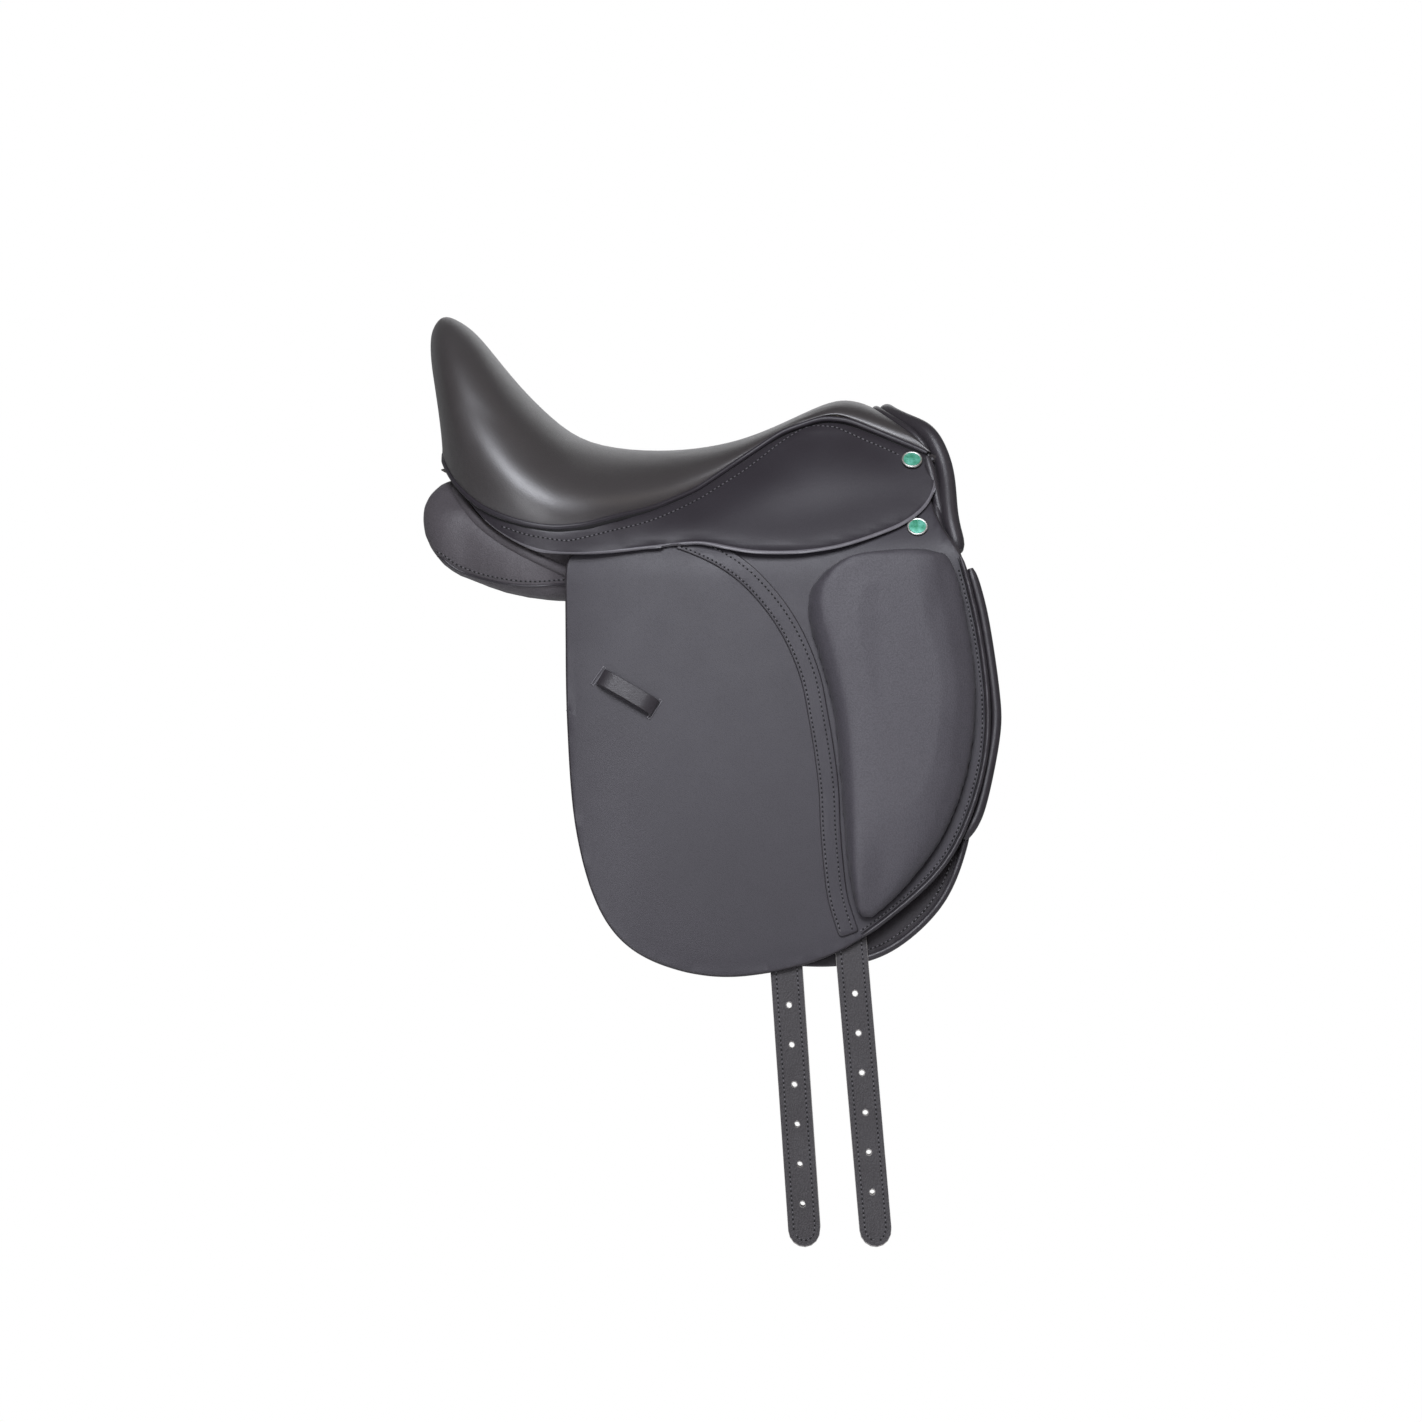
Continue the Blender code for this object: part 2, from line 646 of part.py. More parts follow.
def slit_cutter(name, side, where):
    """A box through the flap for one end of the keeper."""
    shape = bmesh.new()
    bmesh.ops.create_cube(shape, size=1)
    size = (KEEPER_LEATHER + 2.4, KEEPER_WIDTH + 2 * SLIT_CLEARANCE, 2.5 * FLAP_LEATHER)
    bmesh.ops.scale(shape, vec=Vector(size) * MM, verts=shape.verts)
    mesh = bpy.data.meshes.new(name)
    shape.to_mesh(mesh)
    shape.free()
    middle = Matrix.Translation((where * MM, 0, -FLAP_LEATHER / 2 * MM))
    return add(name, mesh, "trim leather", keeper_frame(side) @ middle)


# The cover band: a strip stitched down the flap behind the knee block.
BAND_LINE = [(-5, 33.5), (12, 30.0), (31, 18.6), (49.4, 0.1), (64.5, -22.1), (76.2, -45.5), (92, -101),
             (97.6, -134.7), (103.5, -198.8), (109.8, -260.3), (122, -300.3)]
BAND_ROWS = 24


def cover_band(name, side, parent):
    line = flap_outline(spaced(BAND_LINE, BAND_ROWS), side)
    return sheet(name, strip_profile(line, BAND_WIDTH), BAND_LEATHER, "flap leather", flap_frame(side),
                 -REST_GAP - BAND_LEATHER, parent)


# The knee block's foot on the flap: front edge and rear edge, both from the top down to the tip.
BLOCK_FRONT = [(150, 42.5), (191.3, 45), (215, 34.7), (229.5, -21.4), (237, -86.3), (229, -154),
               (207, -211.3), (174, -256), (142, -286), (134.5, -291)]
BLOCK_REAR = [(150, 42.5), (116.3, 35.5), (89, 13.3), (85, -14.1), (95.5, -51.4), (108.5, -101.5),
              (115.3, -171.3), (121.5, -241.2), (132.5, -290)]
BLOCK_STEPS = 42
BLOCK_ROWS = [1, *range(2, 40, 2), 40, 41]
BLOCK_SHARES = (0, 0.035, 0.09, 0.17, 0.28, 0.42, 0.58, 0.73, 0.86, 0.95, 1.0)
BLOCK_RIM = 1.5


def block_height(v, s):
    """The block's height at v, from its top to its tip, and s, from its rear edge to its front one."""
    end = min(1.0, v / 0.16, (1 - v) / 0.22)
    high = BLOCK_HEIGHT * (1 - (1 - end) ** 2.2) * (1 - 0.25 * v)
    steep_rear = 1 - (1 - min(1, s / 0.17)) ** 2.4
    fall = 1 - 0.45 * s**1.6
    front_edge = 1 - (max(0, s - 0.8) / 0.2) ** 2.4 * 0.62
    return BLOCK_RIM + high * max(0.12 * s, steep_rear * fall * front_edge)


def block_net():
    """(x, z, height) over the block: steep at its rear edge, falling away to its front one."""
    rear = spaced(BLOCK_REAR, BLOCK_STEPS + 1)
    fore = spaced(BLOCK_FRONT, BLOCK_STEPS + 1)
    net = []
    for k in BLOCK_ROWS:
        v = k / BLOCK_STEPS
        net.append([(*(rear[k] + (fore[k] - rear[k]) * s), block_height(v, s)) for s in BLOCK_SHARES])
    return np.array(net)


def knee_block(name, side, parent):
    net = block_net()
    outer = np.array([[on_flap(x, z, -h - REST_GAP) for x, z, h in row] for row in net])
    foot = np.array([[on_flap(x, z, -REST_GAP) for x, z, h in row] for row in net])
    frame = flap_frame(side)
    return between(name, in_frame(sided(outer, side), frame), in_frame(sided(foot, side), frame),
                   "trim leather", frame, parent)


# The flap's fixed top, above the hinge line: it slopes in to the tree. Its front edge runs from the
# pommel's rolls forward to the flap's front corner.
TOP_EDGE = [(-129.5, 42), (-90, 48), (-52, 56), (-14, 64), (20, 70), (60, 72), (100, 72), (128, 73),
            (143, 82), (156, 96), (170, 103), (184, 104.5), (193, 100), (197.5, 89), (199, 78)]
TOP_COLUMNS = 26
TOP_FRONT = (196, 204, 211, 217)


def top_slope(x):
    """How far the top leans in for each step up: it grows from the rear to x = 0."""
    f = min(1.0, max(0.0, (x - HINGE_REAR[0]) / -HINGE_REAR[0]))
    return 0.2 + 0.5 * f * f * (3 - 2 * f)


def top_face(x, z):
    w, level = hinge_point(x)
    return np.array([x, w - top_slope(x) * (z - level), z])


def flap_top(name, side):
    upper = spaced(TOP_EDGE, TOP_COLUMNS)
    even = np.linspace(FLAP_TOP[0], 210, TOP_COLUMNS)[:-len(TOP_FRONT)]
    lower_x = np.concatenate([even, TOP_FRONT])
    rows = []
    for (x1, z1), x0 in zip(upper, lower_x):
        z0 = hinge_z(x0) + FOLD_GAP / 2
        rows.append([top_face(x0 + (x1 - x0) * f, z0 + (z1 - z0) * f) for f in (0, 0.33, 0.67, 1)])
    outer = sided(np.array(rows), side)
    inner = outer - TOP_LEATHER * normals_of(outer, (0, side, 0.5))
    inner[:, 0] = outer[:, 0] - np.array([0, (TOP_LEATHER + 0.2) * side, 0])
    return between(name, outer, inner, "flap leather")


# The skirt: from the welt down over the tree's side. Its front part is loose below a fold line.
SKIRT_EDGE = [(-222, 105, 96.5), (-214.9, 116, 84.8), (-202, 128, 69.8), (-183.3, 140, 56.1),
              (-164.7, 148, 47.2), (-146, 151.5, 42.1), (-108.1, 149, 41), (-70.7, 143, 45.0),
              (-52, 140.5, 48.4)]
FOLD_REAR = np.array([-38, 139, 51.2])
FOLD_FRONT = np.array([201, 94.5, 104.0])
SKIRT_TIP = [(201.5, 88.5, 110.5), (200.5, 84, 117), (198.2, 80.5, 124), (196.2, 78.2, 127.5)]
LOBE_EDGE = [(-38, 51.2), (-20.6, 52.4), (-4.4, 50.8), (13.4, 47.0), (29.6, 43.9), (50, 42.3), (81, 43.0),
             (117.5, 48.7), (154, 61.0), (171.8, 68.5), (190, 82.2), (199.1, 96.1), (201, 104)]


def fold_point(x):
    return FOLD_REAR + (FOLD_FRONT - FOLD_REAR) * (x - FOLD_REAR[0]) / (FOLD_FRONT[0] - FOLD_REAR[0])


def fold_frame(side):
    """On the fold line, X forward along it and Z out of the lobe's face."""
    run = FOLD_FRONT - FOLD_REAR
    out = np.cross(run, (0, SKIRT_SLOPE, -1.0))
    return frame_of(sided(FOLD_REAR, side), sided(run, side), sided(out, side))


def skirt(name, side):
    """The fixed part. Returns its net of points and their outward normals."""
    half_gap = np.array([0, -0.5, 0.7]) * FOLD_GAP / 2
    fold = [fold_point(x) + half_gap for x in np.linspace(FOLD_REAR[0] + 1, FOLD_FRONT[0] - 0.5, 16)]
    lower = spaced(np.vstack([SKIRT_EDGE, fold, SKIRT_TIP]), 46)
    upper_x = np.concatenate([np.linspace(-222.5, 190, 42), [191.5, 193, 194.2, 195]])
    rows = []
    for low, x in zip(lower, upper_x):
        top = np.array([x, np.interp(x, welt_line[:, 0], welt_line[:, 1]),
                        np.interp(x, welt_line[:, 0], welt_line[:, 2])])
        span = np.linalg.norm(low - top)
        top = top + (low - top) / span * min(WELT_WIDTH / 2 + 2.0, 0.45 * span)
        bulge = np.array([0, 0.8, 0.6]) * 0.05 * np.linalg.norm(low - top)
        rows.append([top, top * 0.66 + low * 0.34 + bulge, top * 0.33 + low * 0.67 + bulge, low])
    net = sided(np.array(rows), side)
    shell(name, net, SKIRT_LEATHER, (0, side, 1), "flap leather")
    return net, normals_of(net, (0, side, 1))


def skirt_lobe(name, side, parent):
    edge = []
    for x, z in spaced(LOBE_EDGE, 30)[1:-1]:
        fold = fold_point(x)
        edge.append((x, fold[1] + SKIRT_SLOPE * (fold[2] - z), z))
    line = in_frame([sided(p, side) for p in edge], fold_frame(side))[:, :2]
    line = line[line[:, 1] * side > FOLD_GAP]
    fold_edge = [(line[-1, 0], side * FOLD_GAP / 2), (line[0, 0], side * FOLD_GAP / 2)]
    outline = np.vstack([line, fold_edge])
    return sheet(name, outline, SKIRT_LEATHER, "flap leather", fold_frame(side), 0, parent)


# The panel: one stuffed cushion each side, from closed sections (w, z) at these places along x.
PANEL = {
    -221: [(43, 44), (78, 30), (103, 22), (113, 25), (117, 33), (118, 52), (114, 70), (110, 80),
           (98, 90), (74, 108), (46, 108), (38, 74)],
    -183: [(39, 33), (84, 16), (120, 8.4), (133, 11.5), (136.5, 18), (138, 30), (135.5, 41.5), (132, 50),
           (122, 58), (84, 64), (42, 62), (35, 48)],
    -146: [(38, 27), (84, 10), (124, 1.4), (138, 6), (142, 14), (143.5, 22), (141, 29), (142, 42),
           (132, 54), (84, 55), (40, 54), (34, 42)],
    -128: [(38, 26), (82, 8.5), (116, 0.2), (129, 5), (133, 13), (134.5, 19), (132.5, 25), (133, 36),
           (124, 50), (82, 53), (40, 53), (34, 41)],
    -90: [(38, 26), (80, 8.5), (112, 0), (124, 5), (128, 13), (129, 19), (127.5, 25), (126.5, 38),
          (116, 54), (80, 60), (40, 62), (34, 44)],
    -40: [(38, 29), (76, 11), (104, 3), (115, 8), (119.5, 16), (120, 24), (118.5, 30), (116, 46),
          (98, 62), (72, 72), (40, 76), (34, 54)],
    20: [(38, 35), (74, 16), (100, 6), (111, 11), (115.5, 20), (116, 30), (114, 37), (111, 47),
         (88, 66), (64, 90), (42, 102), (34, 70)],
    80: [(50, 24), (80, 0), (105, -14), (116, -9), (120, 2), (119.5, 18), (116, 33), (109, 46),
         (86, 63), (62, 96), (44, 118), (37, 76)],
    130: [(66, 10), (90, -18), (109, -38), (120, -34), (124, -20), (120.5, 8), (115, 30), (107, 43),
          (90, 55), (64, 92), (45, 118), (46, 74)],
    170: [(76, 0), (96, -28), (109, -50), (120, -47), (124.5, -32), (120.5, 0), (113, 28), (104, 46),
          (88, 56), (66, 93), (50, 113), (56, 70)],
    196: [(84, -2), (99, -28), (109, -46), (117, -43), (121, -30), (117, 0), (109, 30), (101, 56),
          (90, 71), (74, 97), (60, 112), (63, 72)],
}
REAR_ENDS = ((36.0, 0.16), (33.5, 0.38), (28, 0.6), (20.5, 0.78), (11, 0.92))
REAR_HEART = np.array([0.0, 84.0, 69.0])
PANEL_SIDES = 22


def panel_rings():
    """Closed rings of (x, w, z), from the rear end to the front one."""
    tables = [np.array([(x, w, z) for w, z in points], float) for x, points in PANEL.items()]
    rings = []
    first = spaced(tables[0], PANEL_SIDES, closed=True)
    for back, scale in REAR_ENDS:
        ring = REAR_HEART + (first - REAR_HEART) * scale
        ring[:, 2] += (1 - scale) * 4 + back * 0.1
        ring[:, 0] = tables[0][0, 0] - back
        rings.append(ring)
    for where in np.arange(0, len(tables) - 0.5, 0.5):
        table = np.array([along([t[i] for t in tables], where) for i in range(len(tables[0]))])
        rings.append(spaced(table, PANEL_SIDES, closed=True))
    last = rings[-1]
    close = last.mean(axis=0) + (last - last.mean(axis=0)) * 0.72
    close[:, 0] += 7
    rings.append(close)
    return rings


# Girth straps: where the top and the tip are in side view, and how far down the first hole is.
STRAPS = {
    "rear": ((42.8, 30.0), (84.3, -574.0), 396.0),
    "front": ((95.5, 31.0), (147.9, -574.0), 387.0),
}


def strap_frame(end, side):
    """At the strap's sewn top: Y runs up along the strap, Z out of its outer face."""
    top, tip = STRAPS[end][:2]
    a, b = [sided(on_flap(x, z, STRAP_DEPTH), side) for x, z in (top, tip)]
    out = Vector(sided(PLANE_OUT, side))
    return frame_of(a, Vector(a - b).cross(out), out)


def girth_strap(end, word, side):
    top, tip, first_hole = STRAPS[end]
    length = np.linalg.norm(on_flap(*top) - on_flap(*tip))
    half = STRAP_WIDTH / 2
    outline = [(half, 0.0), (-half, 0.0)]
    for angle in np.linspace(math.pi, 2 * math.pi, 9):
        outline.append((half * math.cos(angle), half * 1.1 * (1 + math.sin(angle)) - length))
    frame = strap_frame(end, side)
    strap = as_mesh(sheet(f"billet_{end}_{word}", outline, STRAP_LEATHER, "strap leather", frame))
    shape = bmesh.new()
    for k in range(HOLE_COUNT):
        at = Matrix.Translation((0, -(first_hole + k * HOLE_PITCH) * MM, -STRAP_LEATHER / 2 * MM))
        oval = Matrix.Diagonal((HOLE_WIDTH, HOLE_LENGTH, 1.0, 1.0))
        bmesh.ops.create_cone(shape, cap_ends=True, segments=8, radius1=0.5 * MM, radius2=0.5 * MM,
                              depth=2 * STRAP_LEATHER * MM, matrix=at @ oval)
    mesh = bpy.data.meshes.new("holes")
    shape.to_mesh(mesh)
    shape.free()
    cut(strap, add(f"holes_{end}_{word}", mesh, "strap leather", frame))
    return strap


def girth_web(end, word, side, top, foot):
    """Webbing from the tree's edge to the top of a girth strap."""
    x0, z0 = foot
    lower = on_flap(x0, z0, STRAP_DEPTH + STRAP_LEATHER / 2)
    upper = np.array(top, float)
    knee = 0.6 * upper + 0.4 * lower
    knee[1:] = (upper[1:] + lower[1:]) / 2 + (1.5, 6)
    path = spaced([upper, knee, lower], 5)
    out = np.cross(tangents(path), (1.0, 0, 0))
    out /= np.linalg.norm(out, axis=1, keepdims=True)
    half = np.array([WEB_WIDTH / 2, 0, 0])
    outer = np.array([[p + n * WEB_THICKNESS / 2 + s * half for s in (-1, 1)] for p, n in zip(path, out)])
    inner = np.array([[p - n * WEB_THICKNESS / 2 + s * half for s in (-1, 1)] for p, n in zip(path, out)])
    return between(f"girth_web_{end}_{word}", sided(outer, side), sided(inner, side), "webbing")


# The stirrup bar lies on the tree's side, under the skirt: X forward, Y out from the tree.
BAR_FOOT = np.array([52.0, 88.75, 86.0])
BAR_RUN = (1.0, -0.05, 0.0)
BAR_OUT = (0.0, 0.835, 0.55)


def bar_frame(side):
    run = Vector(sided(BAR_RUN, side))
    out = Vector(sided(BAR_OUT, side))
    return frame_of(sided(BAR_FOOT, side), run, run.cross(out))


def bar_levels():
    """How far out the slot's floor, its roof and the bar's outer face are."""
    floor = LAYER_GAP + BAR_PLATE
    roof = floor + BAR_SLOT
    return floor, roof, roof + BAR_THICKNESS


def stirrup_bar(name, side):
    """Plate, slot and bar in one profile: the slot is open at the rear for the stirrup leather."""
    floor, roof, face = bar_levels()
    end = BAR_LENGTH
    profile = [(-CATCH_THICKNESS - 1, LAYER_GAP), (end + 4, LAYER_GAP), (end + 4, face - 1.4),
               (end + 1, face), (3.4, face), (1.6, face - 0.6), (1.6, roof + 0.5), (2.6, roof),
               (end - 10, roof), (end - 7, roof - 0.9), (end - 7, floor + 0.8), (end - 10, floor),
               (-CATCH_THICKNESS - 1, floor)]
    bar = sheet(name, profile, BAR_WIDTH, "brushed steel", bar_frame(side), -BAR_WIDTH / 2)
    return soften(as_mesh(bar))


def bar_catch(name, side):
    """The hinged catch that closes the slot's rear end: its foot is round about its pin."""
    floor, roof, face = bar_levels()
    half = CATCH_THICKNESS / 2
    pin = floor + REST_GAP + half
    high = face - 1.0 - pin
    foot = [(half * math.cos(a), half * math.sin(a)) for a in np.linspace(math.pi, 2 * math.pi, 7)]
    profile = foot + [(half, high - 1.4), (half - 1.7, high), (1.7 - half, high), (-half, high - 1.4)]
    frame = bar_frame(side) @ Matrix.Translation(Vector((0.8 - half, pin, 0)) * MM)
    width = BAR_WIDTH - 1.2
    return soften(as_mesh(sheet(name, profile, width, "brushed steel", frame, -width / 2)))


def button(name, middle, out):
    """A turned button with a raised rim round a shallow dish, its foot just clear of the leather."""
    radius = BUTTON_WIDTH / 2
    profile = [(0, 0.8), (0.74, 0.8), (0.8, 1.0), (0.93, 0.75), (1.0, 0.4), (0.96, 0), (0, 0)]
    shape = bmesh.new()
    verts = [shape.verts.new((r * radius * MM, 0, h * BUTTON_HEIGHT * MM)) for r, h in profile]
    for a, b in zip(verts, verts[1:]):
        shape.edges.new((a, b))
    mesh = bpy.data.meshes.new(name)
    shape.to_mesh(mesh)
    shape.free()
    obj = add(name, mesh, "green enamel", frame_of(middle, (1, 0, 0), out))
    turned = obj.modifiers.new("turned", "SCREW")
    turned.steps = BUTTON_STEPS
    turned.render_steps = BUTTON_STEPS
    turned.use_merge_vertices = True
    turned.merge_threshold = 1e-5
    return obj


def on_skirt(net, out, x, z):
    """The skirt's point seen at x and z from the side, and its outward normal."""
    near = np.hypot(net[:, 1:3, 0] - x, net[:, 1:3, 2] - z)
    i, j = np.unravel_index(near.argmin(), near.shape)
    p, n = net[i, j + 1], out[i, j + 1]
    y = p[1] - (n[0] * (x - p[0]) + n[2] * (z - p[2])) / n[1]
    return np.array([x, y, z]), n


SKIRT_BUTTON_AT = (178.9, 124.6)
FLAP_BUTTON_AT = (183.8, 65.0)

rings = panel_rings()
for word, side in SIDES:
    flap_hinge = pivot("flap_hinge_" + word, flap_frame(side))
    skirt_fold = pivot("skirt_fold_" + word, fold_frame(side))

    skirt_net, skirt_out = skirt("skirt_" + word, side)
    skirt_lobe("skirt_lobe_" + word, side, skirt_fold)
    flap_top("flap_top_" + word, side)

    flap = as_mesh(flap_sheet("flap_" + word, side, flap_hinge))
    cut(flap, slit_cutter("slit_rear_" + word, side, 0.0))
    cut(flap, slit_cutter("slit_front_" + word, side, keeper_length()))
    keeper_strap("keeper_" + word, side, flap_hinge)
    cover_band("flap_band_" + word, side, flap_hinge)
    knee_block("knee_block_" + word, side, flap_hinge)

    sweat_sheet("sweat_flap_" + word, side)
    roll_depth = SWEAT_DEPTH - 0.5 - SWEAT_ROLL_WIDTH / 2
    roll_path = [sided(on_flap(x, z, roll_depth), side) for x, z in spaced(SWEAT_ROLL_LINE, 26)]
    bead("sweat_roll_" + word, np.array(roll_path), SWEAT_ROLL_WIDTH, "trim leather", 8, 0.5)
    loft("panel_" + word, [sided(ring, side) for ring in rings], "panel leather")

    girth_strap("rear", word, side)
    girth_strap("front", word, side)
    girth_web("rear", word, side, (38, 99.5, 68), (42.8, 34.5))
    girth_web("front", word, side, (92, 102, 62), (95.5, 36.5))
    stirrup_bar("stirrup_bar_" + word, side)
    bar_catch("bar_catch_" + word, side)

    place, out = on_skirt(skirt_net, skirt_out, *SKIRT_BUTTON_AT)
    button("skirt_button_" + word, place + BUTTON_STAND * out, out)
    out = sided((0, 0.819, 0.574), side)
    place = sided(top_face(*FLAP_BUTTON_AT), side)
    button("flap_button_" + word, place + REST_GAP * out, out)

# The lining over the gullet, from the cantle's foot to the pommel's facing.
LINING = [(-238, 118), (-221, 113), (-183, 74), (-146, 64), (-90, 71), (-40, 84), (20, 104), (64, 118),
          (104, 130)]
LINING_SECTION = [(36, -1.5), (20, 0), (0, 0), (-20, 0), (-36, -1.5)]
LINING_CLOTH = 2.0
lining_rows = []
for x, z in spaced(LINING, 20):
    lining_rows.append([(x, y, z + rise) for y, rise in LINING_SECTION])
shell("gullet_lining", np.array(lining_rows), LINING_CLOTH, (0, 0, 1), "webbing")
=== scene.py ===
# %% [markdown]
# # A dressage saddle, dressed
# The frame holds every solid of the saddle at its real size. This lesson covers that frame with
# leather, thread, foam and metal, one piece at a time. All lengths are in metres, and MM turns
# millimetres into metres.

# %% Load the frame
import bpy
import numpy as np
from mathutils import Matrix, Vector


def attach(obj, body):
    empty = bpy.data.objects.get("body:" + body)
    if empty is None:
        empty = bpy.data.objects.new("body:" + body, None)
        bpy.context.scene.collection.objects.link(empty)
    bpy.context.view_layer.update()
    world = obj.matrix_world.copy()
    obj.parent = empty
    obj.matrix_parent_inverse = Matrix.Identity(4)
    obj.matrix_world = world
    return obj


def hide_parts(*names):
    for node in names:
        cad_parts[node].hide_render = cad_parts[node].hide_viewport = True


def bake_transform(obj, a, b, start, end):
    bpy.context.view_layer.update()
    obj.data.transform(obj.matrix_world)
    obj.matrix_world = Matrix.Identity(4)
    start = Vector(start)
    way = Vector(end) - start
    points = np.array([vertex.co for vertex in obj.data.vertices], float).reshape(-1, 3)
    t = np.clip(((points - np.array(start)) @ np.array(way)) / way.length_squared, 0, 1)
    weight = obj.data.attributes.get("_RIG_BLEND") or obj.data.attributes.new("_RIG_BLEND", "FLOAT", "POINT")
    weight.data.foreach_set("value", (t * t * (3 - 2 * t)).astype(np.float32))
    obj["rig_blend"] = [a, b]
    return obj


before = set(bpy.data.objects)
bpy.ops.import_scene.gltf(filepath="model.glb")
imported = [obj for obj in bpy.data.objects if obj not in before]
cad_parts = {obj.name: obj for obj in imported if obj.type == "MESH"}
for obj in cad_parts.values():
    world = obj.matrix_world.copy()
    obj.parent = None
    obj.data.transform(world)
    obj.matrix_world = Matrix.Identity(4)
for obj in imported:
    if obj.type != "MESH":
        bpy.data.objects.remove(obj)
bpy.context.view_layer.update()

import math

import bmesh
import bpy
import numpy as np
from mathutils import Matrix, Vector
from mathutils.bvhtree import BVHTree
from mathutils.kdtree import KDTree

MM = 0.001
SIDES = (("left", 1), ("right", -1))
scene = bpy.context.scene

# %% [markdown]
# ## Camera
# A product photograph of a saddle is taken level, from the side and from far away. A very long lens
# keeps the far side at the near side's scale, so that the far girth straps lie behind the near ones.
# The camera stands a fraction of a degree off the level side view, which was fitted to the photograph.

# %% Camera
LENS = 1500.0
SENSOR = 36.0
FRAME_WIDTH = 1.2656
AIM = Vector((0.0, -0.15, -0.0988))  # the middle of the picture, on the right flap
CAMERA_LIFT = math.radians(-0.26)
CAMERA_TURN = math.radians(0.13)

distance = FRAME_WIDTH * LENS / SENSOR
camera_data = bpy.data.cameras.new("camera")
camera_data.lens = LENS
camera_data.sensor_width = SENSOR
camera = bpy.data.objects.new("camera", camera_data)
scene.collection.objects.link(camera)
towards = Vector((math.sin(CAMERA_TURN), -math.cos(CAMERA_TURN), 0)) * math.cos(CAMERA_LIFT)
camera.location = AIM + distance * (towards + Vector((0, 0, math.sin(CAMERA_LIFT))))
camera.rotation_euler = (AIM - camera.location).to_track_quat("-Z", "Y").to_euler()
scene.camera = camera
print("camera", round(distance, 3), "m from the flap")

# %% [markdown]
# ## Nodes of a material
# A material is a small network of nodes. These helpers make one node with its settings, or a step
# that several finishes share: a changed range, a product, a mix of two colours, a relief.

# %% Helpers for materials


def node(tree, kind, **values):
    """A new node, with its inputs and settings given by name."""
    made = tree.nodes.new("ShaderNode" + kind)
    for key, value in values.items():
        socket = key.replace("_", " ")
        if socket in made.inputs:
            made.inputs[socket].default_value = value
        else:
            setattr(made, key, value)
    return made


def blank_material(name):
    """A new material, its node tree, its shader and the piece's own coordinates."""
    made = bpy.data.materials.new(name)
    made.use_nodes = True
    tree = made.node_tree
    return made, tree, tree.nodes["Principled BSDF"], node(tree, "TexCoord").outputs["Object"]


def ramp(tree, source, low, high, to_low, to_high):
    """A value mapped from one range to another."""
    made = node(tree, "MapRange", From_Min=low, From_Max=high, To_Min=to_low, To_Max=to_high)
    tree.links.new(source, made.inputs["Value"])
    return made.outputs["Result"]


def product(tree, first, second):
    """Two values multiplied."""
    made = node(tree, "Math", operation="MULTIPLY")
    tree.links.new(first, made.inputs[0])
    tree.links.new(second, made.inputs[1])
    return made.outputs[0]


def two_tones(tree, share, colour, light_colour):
    """A mix of two colours, by a share from 0 to 1."""
    mixed = node(tree, "MixRGB", Color1=(*colour, 1), Color2=(*light_colour, 1))
    tree.links.new(share, mixed.inputs["Fac"])
    return mixed.outputs[0]


def relief(tree, height, strength, depth):
    """A height turned into a normal for the shader."""
    made = node(tree, "Bump", Strength=strength, Distance=depth)
    tree.links.new(height, made.inputs["Height"])
    return made.outputs[0]


def drawn_out(tree, place, share):
    """Coordinates in which a pattern is drawn out along the saddle."""
    made = node(tree, "Mapping", Scale=(share, 1.0, 1.0))
    tree.links.new(place, made.inputs["Vector"])
    return made.outputs[0]


# %% [markdown]
# ## Floor, lights and background
# The saddle hangs free over a pale floor. Through the Light Path node the background is white for
# the camera, dim for the light that falls on the leather, and a touch brighter in reflections.

# %% Stage
FLOOR_LEVEL = -0.79
FLOOR_HALF = 3
DIM_SKY = 0.12
GLOSS_SHARE = 0.06
LIT_POINT = Vector((0, 0, -0.05))
scene.view_settings.view_transform = "Standard"


def light(name, place, size, power, colour):
    """A softbox: a rectangular lamp turned towards the saddle."""
    data = bpy.data.lights.new(name, "AREA")
    data.shape = "RECTANGLE"
    data.size, data.size_y = size
    data.energy = power
    data.color = colour
    obj = bpy.data.objects.new(name, data)
    scene.collection.objects.link(obj)
    obj.location = place
    obj.rotation_euler = (LIT_POINT - Vector(place)).to_track_quat("-Z", "Y").to_euler()


light("key_softbox", (-0.15, -2.65, 2.00), (1.6, 1.6), 112, (0.91, 0.93, 1.0))
light("front_softbox", (-1.1, -3.1, -0.25), (1.2, 1.2), 24, (0.95, 0.96, 1.0))
light("warm_softbox", (2.3, -1.0, 2.3), (1.5, 1.5), 5, (1.0, 0.88, 0.78))
light("back_softbox", (0.3, 2.9, 1.2), (2.0, 1.4), 10, (0.97, 0.98, 1.0))

world = bpy.data.worlds.new("studio")
scene.world = world
world.use_nodes = True
sky = world.node_tree
rays = node(sky, "LightPath").outputs
shown = node(sky, "Math", operation="MAXIMUM")
sky.links.new(rays["Is Camera Ray"], shown.inputs[0])
sky.links.new(rays["Is Transmission Ray"], shown.inputs[1])
reflected = node(sky, "Math", operation="MULTIPLY_ADD")
reflected.inputs[1].default_value = GLOSS_SHARE
sky.links.new(rays["Is Glossy Ray"], reflected.inputs[0])
sky.links.new(shown.outputs[0], reflected.inputs[2])
backdrop = sky.nodes["Background"].inputs
backdrop["Color"].default_value = (1, 1, 1, 1)
sky.links.new(ramp(sky, reflected.outputs[0], 0.0, 1.0, DIM_SKY, 1.0), backdrop["Strength"])


